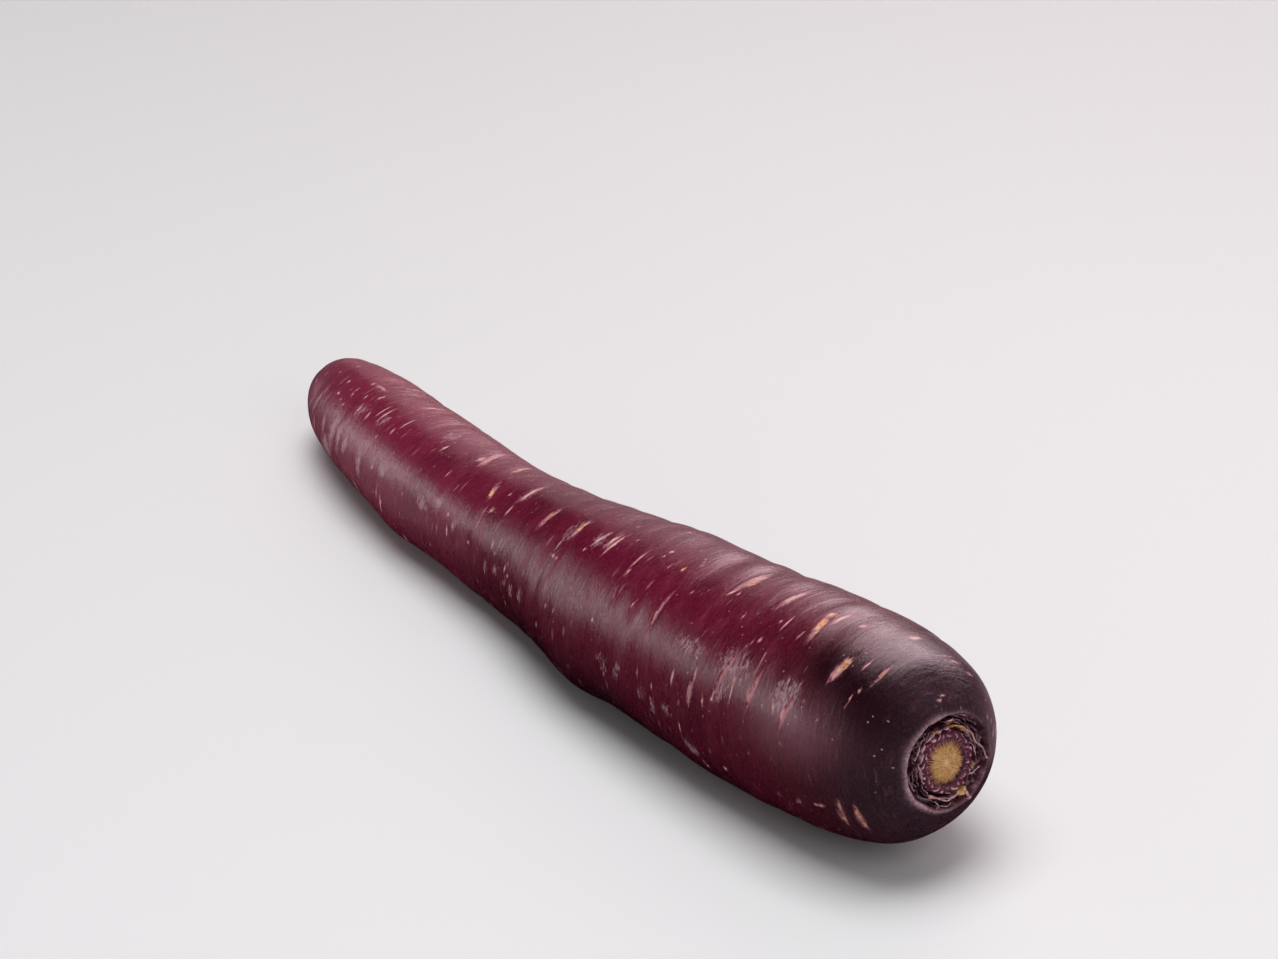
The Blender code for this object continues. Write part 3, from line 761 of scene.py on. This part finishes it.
# %% Its ground colour, in patches and fine lines, then painted shade, reflection and warm light
base = f.ramp(
    share,
    (0.0, "33222b"), (0.03, "352029"), (0.07, "461320"), (0.13, "5c0e26"),
    (0.28, "660e2b"), (0.50, "620f29"), (0.66, "721835"), (0.82, "7c1c38"), (1.0, "82304a"),
)
body = f.between(share, 0.03, 0.12)
base = f.mix(f.times(body, f.between(patches, 0.45, 0.70, 0, 0.35)), base, "35040f")
base = f.mix(f.times(body, f.between(blotches, 0.50, 0.74, 0, 0.35)), base, "8c1c3c")
base = f.mix(f.between(hairlines, 0.54, 0.76, 0, 0.28), base, "9c4a60")
base = f.mix(f.between(fine, 0.52, 0.74, 0, 0.34), base, "8a3c54")
base = f.mix(f.between(fine, 0.46, 0.28, 0, 0.30), base, "2c0410")
# Painted shade under the crown's left and along the underside.
base = f.mix(f.times(f.attribute("painted_shade"), 0.85), base, "1c040c")
# Pale dust together with painted reflection and painted sheen.
base = f.mix(f.times(f.attribute("dust_and_reflection"), 0.42), base, "94606e")
# Painted warm light, mostly on the top of the tip.
base = f.mix(f.times(f.attribute("painted_warm_light"), 0.42), base, "a04656")

# %% [markdown]
# Wear lies over the ground colour: wisps of dust in the fine lines, chalky scuffs and single
# specks. They could be painted on an image, but an image has a seam. Here a noise is cut off at
# a level, so it comes out in broken islands, and a field says where they may be.

# %% Dust, scuffs and specks
spread = f.between(f.noise(f.stretch(place, (0.09, 0.06, 0.06), (3, 9, 4)), 1.0, 3), 0.50, 0.66)
wisps = f.times(spread, f.between(fibres, 0.54, 0.70, 0, 0.42))
base = f.mix(wisps, base, "8e5868")

scuff = f.attribute("scuff")
worn = f.times(scuff, f.plus(f.times(f.attribute("dust_and_reflection"), 0.09), 0.13))
broken = f.between(f.plus(worn, chalk), 0.56, 0.70)
scuffed = f.times(f.times(broken, f.between(scuff, 0.0, 0.35)), 0.75)
base = f.mix(scuffed, base, "b8949c")

cells = {"Vector": f.stretch(place, (1, 0.7, 0.7)), "Scale": 0.62}
dots = f.add("TexVoronoi", cells, "Distance")
where = f.plus(f.times(scuff, 0.06), f.times(patches, 0.16))
dot = f.between(f.minus(f.plus(dots, f.times(grain, 0.12)), where), 0.07, 0.02, 0, 0.7)
base = f.mix(dot, base, "bc929a")

# %% [markdown]
# Then the marks. Noise is added to each cone before it is cut off, which tears its edge, and near
# the cone's foot the mark fades. Streaks and flecks are pale, the corky patches are mottled with
# orange, and each slit has a dark bottom between pale banks. The wall of the pit is dull, dead
# tissue below a lip with a painted highlight.

# %% Streaks, flecks, banks, corky patches and slits
ragged = f.times(f.minus(f.plus(fibres, chalk), 1.0), 1.9)


def shown(field, low, high, most, fade):
    """How much of a mark shows: its cone with the ragged noise, cut between low and high, times
    a fade at the cone's foot."""
    cut = f.between(f.plus(field, ragged), low, high, 0, most)
    return f.times(cut, f.between(field, 0.0, fade))


streak = f.attribute("streak")
pale = shown(streak, 0.10, 0.70, 0.9, 0.42)
inner = f.plus(streak, f.times(f.minus(chalk, 0.5), 1.6))
base = f.mix(pale, base, f.ramp(inner, (0.15, "8e4258"), (0.45, "b8727c"), (0.80, "e2b8b0")))
base = f.mix(shown(f.attribute("fleck"), 0.10, 0.80, 0.5, 0.4), base, "b87884")
base = f.mix(shown(f.attribute("bank"), 0.15, 0.8, 0.4, 0.2), base, "b8707a")
cork_colour = f.ramp(
    f.noise(place, 1.6, 4, 0.75),
    (0.34, "782c38"), (0.43, "bc6444"), (0.51, "e49c62"), (0.58, "f0c8a4"), (0.68, "b8606a"),
)
base = f.mix(shown(f.attribute("corky"), 0.16, 0.5, 0.92, 0.15), base, cork_colour)
bottom = f.between(f.plus(f.attribute("slit"), f.times(ragged, 0.6)), 0.4, 0.8, 0, 0.5)
base = f.mix(bottom, base, "5a2028")

# %% The wall of the pit, and the painted highlight on its lip
pit = f.between(f.attribute("outside"), 0.0, 0.7, 1, 0)
tissue = f.noise(f.stretch(place, (0.5, 0.6, 0.6), (1, 1, 8)), 1.0, 5, 0.75)
base = f.mix(pit, base, f.ramp(tissue, (0.36, "220c15"), (0.52, "562a38"), (0.66, "8c6070")))
# A painted highlight along the crest of the lip, brightest on the left.
rim = f.times(f.attribute("lip"), f.between(chalk, 0.36, 0.60, 0.45, 1.25))
base = f.mix(f.times(rim, 0.95), base, "c298a4")

# %% [markdown]
# Last comes the shine. The skin is satin, and duller where it is scuffed or pale and in the pit.
# Its finest lines are narrower than the mesh's faces, so bump nodes shade them.

# %% The shine and the finest lines, and then the skin itself
dull = f.plus(f.times(scuffed, 0.25), f.times(pale, 0.22))
dull = f.plus(dull, f.times(pit, 0.3))
rough = f.plus(f.between(blotches, 0.3, 0.75, 0.23, 0.36), dull)
rough = f.plus(rough, f.between(chalk, 0.42, 0.66, -0.03, 0.12))
normal = f.bump(folds, 0.30 * MM, strength=0.5)
normal = f.bump(hairlines, 0.12 * MM, normal, f.between(along, 4, 18, 1.0, 0.45))
normal = f.bump(grain, 0.07 * MM, normal, 0.6)
skin_material = f.finish(
    Base_Color=base, Roughness=rough, Normal=normal, Specular_IOR_Level=0.5
)
print("skin finish:", len(f.tree.nodes), "nodes")
show(
    "carrot_skin",
    grid_mesh("carrot_skin", skin_points, skin_fields, {"unrolled": skin_unrolled}),
    skin_material, "purple_skin", "root",
)

# %% [markdown]
# In the crown stands what is left of the leaves: a stub of stalks, cut level. Its face has a tan
# pith with grain that runs out from the middle, and a purple ring round it that shrivelled into
# wavy ridges as it dried. A turned profile makes the stub, and waves added to its depth make the
# ridges. The places are taken in the pit's own frame: a depth below the crown's plane, a radius
# and an angle.

# %% The pit's own frame, and the stub
STUB_ASIDE, STUB_DROP = -0.1 * MM, -1.55 * MM
CENTRE = (STUB_ASIDE, STUB_DROP)
STUB_SCALE, STUB_RINGS, STUB_SIDES = 1.06, 130, 420
# The stub: (depth mm below the crown's plane, radius mm).
STUB = (
    (5.3, 0.0), (5.3, 4.5), (4.9, 4.95), (3.2, 5.0), (1.9, 5.05), (1.35, 4.8), (1.25, 4.3),
    (1.5, 3.8), (1.25, 3.4), (1.05, 2.6), (1.0, 1.4), (1.2, 0.0),
)
PITH_RADIUS, FACE_DEPTH = 3.2 * MM, 2.4 * MM
RING_START, RING_WIDTH = 3.3 * MM, 1.7 * MM


def crown_points(depth, radius, angle, aside, rise):
    """Crown point + depth along the axis + radius round a centre set aside and raised in the
    pit, in the frame of the axis's first step."""
    point, ahead, side, up = frame_at(np.array(0.0))
    across = (aside + radius * np.cos(angle))[..., None] * side
    over = (rise + radius * np.sin(angle))[..., None] * up
    return point + SHIFT + depth[..., None] * ahead + across + over


def waves(angle, lobes, seed):
    """A closed wavy line round the pit: cosines with seeded starts, each lower than the one
    before."""
    draw = random.Random(seed)
    return sum(
        np.cos(n * angle + draw.uniform(0, TAU)) / (1 + i * 0.45) for i, n in enumerate(lobes)
    )


def make_stub():
    """The profile turned round, its radius a little uneven. On the ring, the depth gains wavy
    ridges that run outwards: cos(n angle + twist), where the twist changes with the radius. On
    the pith it gains a fine grain."""
    angle = np.linspace(0, TAU, STUB_SIDES, endpoint=False)[None, :]
    depth, radius = [column[:, None] * MM for column in smooth_line(STUB, STUB_RINGS)]
    uneven = STUB_SCALE * (1 + 0.025 * np.cos(2 * angle + 0.8) + 0.018 * np.cos(5 * angle))
    share = np.clip((radius - RING_START) / RING_WIDTH, 0, 1)
    on_ring = np.clip((radius - 2.9 * MM) / (0.8 * MM), 0, 1) * (depth < FACE_DEPTH)
    twist = 1.2 * waves(angle, (3, 5, 9), 4) + 2.2 * np.sin(2.9 * radius / MM + 3 * angle)
    thick = np.cos(23 * angle + twist * (0.3 + 1.5 * share))
    rays = np.cos(61 * angle + 1.5 * waves(angle, (4, 9), 12))
    rim = np.cos(6.1 * radius / MM + 1.9 * waves(angle, (5, 8, 13), 9))
    folded = thick * np.maximum(rim, -0.2) + 0.45 * rim + 0.35 * thick
    ridges = 0.6 * rays * (1 - share) + folded * share
    bumps = 0.20 * MM * on_ring * ridges * (0.3 + 0.7 * share)
    on_pith = (radius < PITH_RADIUS) & (depth < FACE_DEPTH)
    grain = 0.03 * MM * on_pith * waves(angle, (23, 41, 67), 5) * (radius / PITH_RADIUS)
    points = crown_points(depth - bumps - grain, radius * uneven, angle, *CENTRE)
    across, over = radius * np.cos(angle) / MM + 0.4, radius * np.sin(angle) / MM - 0.2
    from_pith = np.hypot(across, over)
    polar = np.stack([from_pith, across / (from_pith + 0.01), over / (from_pith + 0.01)], axis=-1)
    flat = np.stack([across, over, depth / MM + 0 * angle], axis=-1)
    # The ridges' height, which the finish turns into painted highlight and painted shade.
    fields = {"ridge_painted_light": on_ring * (ridges * 0.4 + 0.5), "cut": (depth < 2.0 * MM) + 0 * angle}
    return grid_mesh("cut_stub", points, fields, {"polar": polar, "flat": flat})


# %% The cut face's finish: pith, grain, and the purple ring with painted light on its ridges
def stub_finish():
    f = Finish("cut_stalk_finish")
    polar = f.attribute("polar", "Vector")
    flat = f.attribute("flat", "Vector")
    radius = f.add("SeparateXYZ", {0: polar}, 0)
    rays = f.noise(f.stretch(polar, (0.35, 15, 15)), 1.0, 4, 0.7)
    broad = f.noise(f.stretch(polar, (0.3, 2.2, 2.2)), 1.0, 3, 0.6)
    mottle = f.noise(flat, 1.7, 5, 0.8)
    wander = f.times(f.minus(rays, 0.5), 5.0)
    edge = f.plus(radius, f.plus(wander, f.times(f.minus(broad, 0.5), 1.2)))
    pith = f.ramp(
        f.maths("DIVIDE", radius, PITH_RADIUS / MM),
        (0.0, "ffe0c0"), (0.08, "f0b888"), (0.26, "d09a60"), (0.70, "c08c4c"), (1.0, "b07450"),
    )
    pith = f.mix(f.between(rays, 0.44, 0.62, 0, 0.85), pith, "e0b47c")
    pith = f.mix(f.between(rays, 0.46, 0.30, 0, 0.40), pith, "8a5c28")
    pith = f.mix(f.between(mottle, 0.49, 0.64, 0, 0.75), pith, "905a1c")
    pith = f.mix(f.between(mottle, 0.48, 0.34, 0, 0.45), pith, "e4b088")
    heart = f.between(f.plus(radius, f.times(wander, 0.2)), 0.75, 0.0, 0, 0.8)
    pith = f.mix(heart, pith, "f8cfa2")
    # The ring is painted pale on its ridges' crests and dark in their hollows: painted highlight
    # and painted shade.
    ring = f.ramp(
        f.plus(f.attribute("ridge_painted_light"), f.times(f.minus(mottle, 0.5), 0.9)),
        (0.10, "340f1e"), (0.42, "5e2238"), (0.68, "8e5468"), (0.92, "cc9ea6"),
    )
    face = f.mix(f.between(edge, 2.75, 3.35), pith, ring)
    below = f.mix(mottle, "2a1018", "5a3438")
    base = f.mix(f.attribute("cut"), below, face)
    normal = f.bump(rays, 0.16 * MM, strength=0.7)
    normal = f.bump(mottle, 0.10 * MM, normal, 0.5)
    return f.finish(Base_Color=base, Roughness=0.5, Normal=normal)


show("cut_stub", make_stub(), stub_finish(), "cut_stalk", "stalk_stub")

# %% [markdown]
# Round the stub stands the papery sheath, torn when the leaves were twisted off. A strip that
# goes round, with a ragged top edge and a crumpled wall, gives its form; a Solidify modifier
# gives the paper its thickness. It is mauve where it still holds sap and tan where it dried, so
# each strip carries a number that is high round its dry places.

# %% A torn collar
COLLAR_SIDES, COLLAR_ROWS = 300, 18


def collar(name, radius, top, foot, raggedness, flaps, crumple, seed, centre, dry=()):
    """A strip round the pit, in rows from its foot to its top: its radius gains crumples and
    flares at the flaps, and its top edge gains waves. Sizes are in mm. A flap is (angle in
    degrees, rise mm, reach in radians), and a dry place (angle, reach in degrees)."""
    angle = np.linspace(0, TAU, COLLAR_SIDES, endpoint=False)[None, :]
    u = np.linspace(0, 1, COLLAR_ROWS)[:, None]
    flap = sum(rise * bell(around(angle, math.radians(at)), reach) for at, rise, reach in flaps)
    edge = waves(angle, (4, 7, 11, 19, 31, 53), seed) * raggedness
    crest = top * MM - (edge + 0.9 * flap) * MM
    depth = foot * MM + (crest - foot * MM) * u
    lean = (0.1 + 0.55 * flap) * u**2 * MM
    folds = waves(angle + 0.35 * u, (6, 11, 17, 29), seed + 1) * crumple * MM * (0.3 + 0.7 * u)
    fold_rows = waves(angle + 2.2 * u, (5, 23), seed + 2) * crumple * 0.6 * MM * u
    reach = radius * MM + lean + folds + fold_rows
    points = crown_points(depth, reach, angle + 0 * u, *centre)
    dried = sum(bell(around(angle, math.radians(at)), math.radians(reach)) for at, reach in dry)
    fields = {"height": u + 0 * angle, "dried": dried + 0 * u + 0 * angle}
    return grid_mesh(name, points, fields, {"polar": points / MM})


def thicken(piece, metres):
    """Gives the strip a wall, half of it on each side."""
    wall = piece.modifiers.new("wall", "SOLIDIFY")
    wall.thickness = metres
    wall.offset = 0


# %% The finish of dead tissue
def paper_finish(name, edge, sappy, dark):
    """Fibres and blotches, a paler torn edge, and tan where it dried."""
    f = Finish(name)
    place = f.attribute("polar", "Vector")
    fibres = f.noise(f.stretch(place, (1.1, 5.0, 5.0)), 1.0, 4, 0.7)
    blotch = f.noise(place, 0.8, 4, 0.65)
    base = f.mix(f.between(blotch, 0.40, 0.62), dark, sappy)
    uneven = f.times(f.minus(f.noise(place, 0.35, 3), 0.56), 1.6)
    top = f.plus(f.attribute("height"), f.plus(f.times(f.minus(fibres, 0.5), 0.9), uneven))
    base = f.mix(f.between(top, 0.80, 1.02), base, edge)
    tan = f.plus(f.attribute("dried"), f.minus(blotch, 0.6))
    tan_colour = f.mix(f.between(fibres, 0.40, 0.62), "cc8c46", "f0be80")
    base = f.mix(f.between(tan, 0.25, 0.6, 0, 0.9), base, tan_colour)
    normal = f.bump(fibres, 0.2 * MM, strength=0.8)
    return f.finish(Base_Color=base, Roughness=0.55, Normal=normal)


# %% The papery sheath and the outer one
PAPER_WALL = 0.10 * MM
torn = ((61, 0.75, 0.36), (226, 0.35, 0.2), (294, 0.8, 0.22), (150, 0.2, 0.4))
dry_places = ((58, 23), (294, 12), (338, 5), (225, 5), (107, 4))
sheath = show(
    "papery_sheath",
    collar("papery_sheath", 5.7, 1.3, 4.9, 0.24, torn, 0.09, 31, CENTRE, dry_places),
    paper_finish("papery_sheath_finish", "d0a4ac", "80485a", "4c2232"),
    "papery_sheath", "sheath_frill",
)
thicken(sheath, PAPER_WALL)
outer_torn = ((60, 0.40, 0.3), (240, 0.3, 0.4), (292, 0.5, 0.2), (140, 0.3, 0.5))
outer = show(
    "outer_sheath",
    collar("outer_sheath", 6.1, 1.9, 4.9, 0.26, outer_torn, 0.10, 57, CENTRE, ((78, 5), (290, 7))),
    paper_finish("outer_sheath_finish", "a47482", "663848", "381825"),
    "papery_sheath", "sheath_frill",
)
thicken(outer, PAPER_WALL)

# %% [markdown]
# Thin dry threads curl out of the sheath. Each is a round profile carried along a curve through a
# few chosen places, with a small swelling near its end, where it snapped. A few short thick ones
# are the rolled tips of torn flaps.

# %% The dry threads: (depth mm, radius mm, angle in degrees) along each, after its own radius mm
THREAD_RINGS, THREAD_SIDES = 40, 10
THREADS = (
    (0.15, (1.9, 5.7, 52), (0.7, 6.1, 38), (0.5, 5.8, 20), (0.4, 6.75, 6), (0.3, 7.2, -7),
     (0.6, 7.8, -11)),
    (0.12, (2.2, 6.6, 138), (1.2, 7.0, 144), (1.1, 7.1, 153), (1.5, 7.05, 160)),
    (0.11, (1.2, 5.9, 230), (0.8, 5.8, 244), (0.7, 6.0, 260), (0.8, 5.7, 276), (1.1, 5.6, 288)),
    (0.11, (1.6, 5.5, 322), (1.0, 5.7, 326), (0.9, 5.9, 331), (1.0, 6.8, 338)),
    (0.11, (1.9, 6.4, 243), (1.5, 6.6, 245), (1.3, 7.1, 250), (1.6, 7.6, 247)),
    (0.09, (1.6, 7.0, 254), (1.3, 7.1, 260), (1.3, 7.1, 266), (1.7, 6.95, 273)),
    (0.26, (1.5, 5.8, 234), (0.9, 6.0, 228), (0.8, 6.2, 221)),
    (0.30, (1.6, 6.0, 300), (1.0, 7.0, 298), (1.0, 8.0, 297)),
    (0.18, (1.4, 5.9, 108), (0.6, 6.1, 107), (0.5, 6.3, 106)),
    (0.20, (2.0, 6.5, 84), (1.2, 6.9, 81), (1.0, 7.1, 76)),
)


def thread_rings(thickness, *path):
    """A circle at each of many places on a cubic through the path's points. Its radius falls by
    a third on the way and swells over the last tenth."""
    depth, radius, turn = np.array(path, float).T
    line = crown_points(depth * MM, radius * MM, np.radians(turn), *CENTRE)
    line = np.stack(smooth_line(line, THREAD_RINGS), axis=1)
    share = np.linspace(0, 1, THREAD_RINGS)
    side, up = side_and_up(unit(np.gradient(line, axis=0)))
    thick = thickness * MM * (1 - 0.35 * share + 0.8 * bell(share - 0.93, 0.06))
    thick[0] = thick[-1] = 0
    turn = np.linspace(0, TAU, THREAD_SIDES, endpoint=False)[None, :, None]
    circle = np.cos(turn) * side[:, None] + np.sin(turn) * up[:, None]
    return line[:, None] + thick[:, None, None] * circle


def thread_finish():
    f = Finish("dry_thread_finish")
    spots = f.noise(f.attribute("polar", "Vector"), 1.6, 3, 0.7)
    base = f.ramp(spots, (0.36, "8e5264"), (0.5, "bc8890"), (0.64, "dcb4a0"))
    return f.finish(Base_Color=base, Roughness=0.5)


thread_material = thread_finish()
for number, path in enumerate(THREADS):
    rings = thread_rings(*path)
    name = f"dry_thread_{number}"
    mesh = grid_mesh(name, rings, None, {"polar": rings / MM})
    show(name, mesh, thread_material, "papery_sheath", "sheath_frill")

# %% [markdown]
# Between the sheath and the pit's wall, the outer leaves left dark, shrivelled bases. They are
# collars again, wider and lower, and more crumpled. Four of them stand close together, so that
# dark folds show between them.

# %% The withered leaf bases
withered = paper_finish("withered_leaf_finish", "987480", "643c48", "32161f")
# Leaf bases: (radius mm, depth mm of the top edge, raggedness mm, crumple mm, seed).
BASES = (
    (6.5, 2.3, 0.34, 0.13, 71), (6.9, 2.5, 0.46, 0.17, 83),
    (7.3, 2.2, 0.5, 0.18, 97), (7.6, 2.5, 0.4, 0.12, 111),
)
BASE_FLAPS = ((100, 0.5, 0.7), (195, 0.5, 0.5))
LEAF_WALL = 0.16 * MM
# The collars' middle moves from the stub's, at the first radius in mm, to the pit's.
STUB_RIM, PIT_RIM = 5.6, 7.7
for number, (radius, top, raggedness, crumple, seed) in enumerate(BASES):
    share = (PIT_RIM - radius) / (PIT_RIM - STUB_RIM)
    centre = (STUB_ASIDE * share, PIT_DROP + (STUB_DROP - PIT_DROP) * share)
    name = f"leaf_base_{number}"
    mesh = collar(name, radius, top, 5.1, raggedness, BASE_FLAPS, crumple, seed, centre)
    piece = show(name, mesh, withered, "withered_leaf", "withered_leaf_bases")
    thicken(piece, LEAF_WALL)

# %% [markdown]
# The studio. Satin skin needs two kinds of light: some to see its colour by, and some to be
# mirrored in it as the long pale bands that show its roundness. A large soft light overhead and a
# small one before the crown are of the first kind only. A low panel at the left does both. Two
# panels behind are only mirrored. So is a glow that lies flat behind the carrot, which stands for
# the pale floor, because the floor itself isn't mirrored.

# %% Lights
TARGET = (0.02, 0.0, 0.015)


def panel(name, place, target, size, radiance, tint=(1, 1, 1)):
    """A rectangular soft light that faces a target. Its power is its radiance times pi times its
    area."""
    light = bpy.data.lights.new(name, "AREA")
    light.shape = "RECTANGLE"
    light.size, light.size_y = size
    light.energy = radiance * math.pi * size[0] * size[1]
    light.color = tint
    lamp = bpy.data.objects.new(name, light)
    lamp.location = place
    lamp.rotation_euler = (Vector(target) - Vector(place)).to_track_quat("-Z", "Y").to_euler()
    lamp.visible_camera = False
    bpy.context.scene.collection.objects.link(lamp)
    return lamp


def polar_place(azimuth, elevation, metres):
    """The point at an azimuth and elevation in degrees, seen from the middle of the floor."""
    turn, lift = math.radians(azimuth), math.radians(elevation)
    flat = metres * math.cos(lift)
    return (flat * math.cos(turn), flat * math.sin(turn), metres * math.sin(lift))


panel("left_panel", polar_place(-137, 7, 0.9), TARGET, (0.98, 0.21), 2.9, (1, 0.91, 0.94))
mirrored_only = (
    panel("back_panel", polar_place(142, 17, 1.3), TARGET, (0.92, 0.70), 0.62, (1, 0.66, 0.72)),
    panel("high_panel", polar_place(111, 52, 0.9), TARGET, (1.02, 1.14), 4.8, (1, 0.78, 0.83)),
    panel("floor_glow", (0.06, 0.24, 0.001), (0.06, 0.24, 1), (0.60, 0.40), 0.42, (1, 0.64, 0.72)),
)
for lamp in mirrored_only:
    lamp.visible_diffuse = False
top_light = panel("top_light", (0.05, -0.10, 1.35), TARGET, (1.0, 1.0), 4.4)
crown_fill = panel("crown_fill", polar_place(-8, 35, 0.9), TARGET, (0.6, 0.6), 1.6)
top_light.visible_glossy = crown_fill.visible_glossy = False
print("lights:", [light.name for light in bpy.data.lights])

# %% [markdown]
# The floor is pale and plain, and reaches far enough that no edge of it shows. It lies a hair
# below the carrot's flat places, so that the two never share a plane. The world adds a faint,
# even light. The camera looks from above the crown's end, with a long lens.

# %% Floor, world and camera
FLOOR_HALF, FLOOR_GAP = 6.0, 0.2 * MM
square = ((-1, -1), (1, -1), (1, 1), (-1, 1))
floor_mesh = bpy.data.meshes.new("studio_floor")
corners = [(x * FLOOR_HALF, y * FLOOR_HALF, -FLOOR_GAP) for x, y in square]
floor_mesh.from_pydata(corners, [], [(0, 1, 2, 3)])
f = Finish("studio_floor_finish")
floor_mesh.materials.append(f.finish(Base_Color=(0.86, 0.86, 0.87, 1), Roughness=0.7))
floor = bpy.data.objects.new("studio_floor", floor_mesh)
floor.visible_glossy = False
bpy.context.scene.collection.objects.link(floor)

world = bpy.data.worlds.new("studio")
bpy.context.scene.world = world
world.cycles_visibility.glossy = False
world.use_nodes = True
background = world.node_tree.nodes["Background"].inputs
background["Color"].default_value = (0.95, 0.95, 0.97, 1)
background["Strength"].default_value = 0.10

AZIMUTH, ELEVATION, CAMERA_DISTANCE = math.radians(57.35), math.radians(25), 0.704
AIM = Vector((-0.0516, 0.0449, -0.0005))
back = Vector((
    math.sin(AZIMUTH) * math.cos(ELEVATION),
    -math.cos(AZIMUTH) * math.cos(ELEVATION),
    math.sin(ELEVATION),
))
camera_data = bpy.data.cameras.new("camera")
camera_data.lens = 100
camera_data.sensor_width = 36
camera_data.clip_start = 0.02
camera = bpy.data.objects.new("camera", camera_data)
camera.location = AIM + CAMERA_DISTANCE * back
camera.rotation_euler = (-back).to_track_quat("-Z", "Y").to_euler()
bpy.context.scene.collection.objects.link(camera)
bpy.context.scene.camera = camera
bpy.context.scene.view_settings.view_transform = "Standard"
print("camera at", [round(place, 3) for place in camera.location], "m")
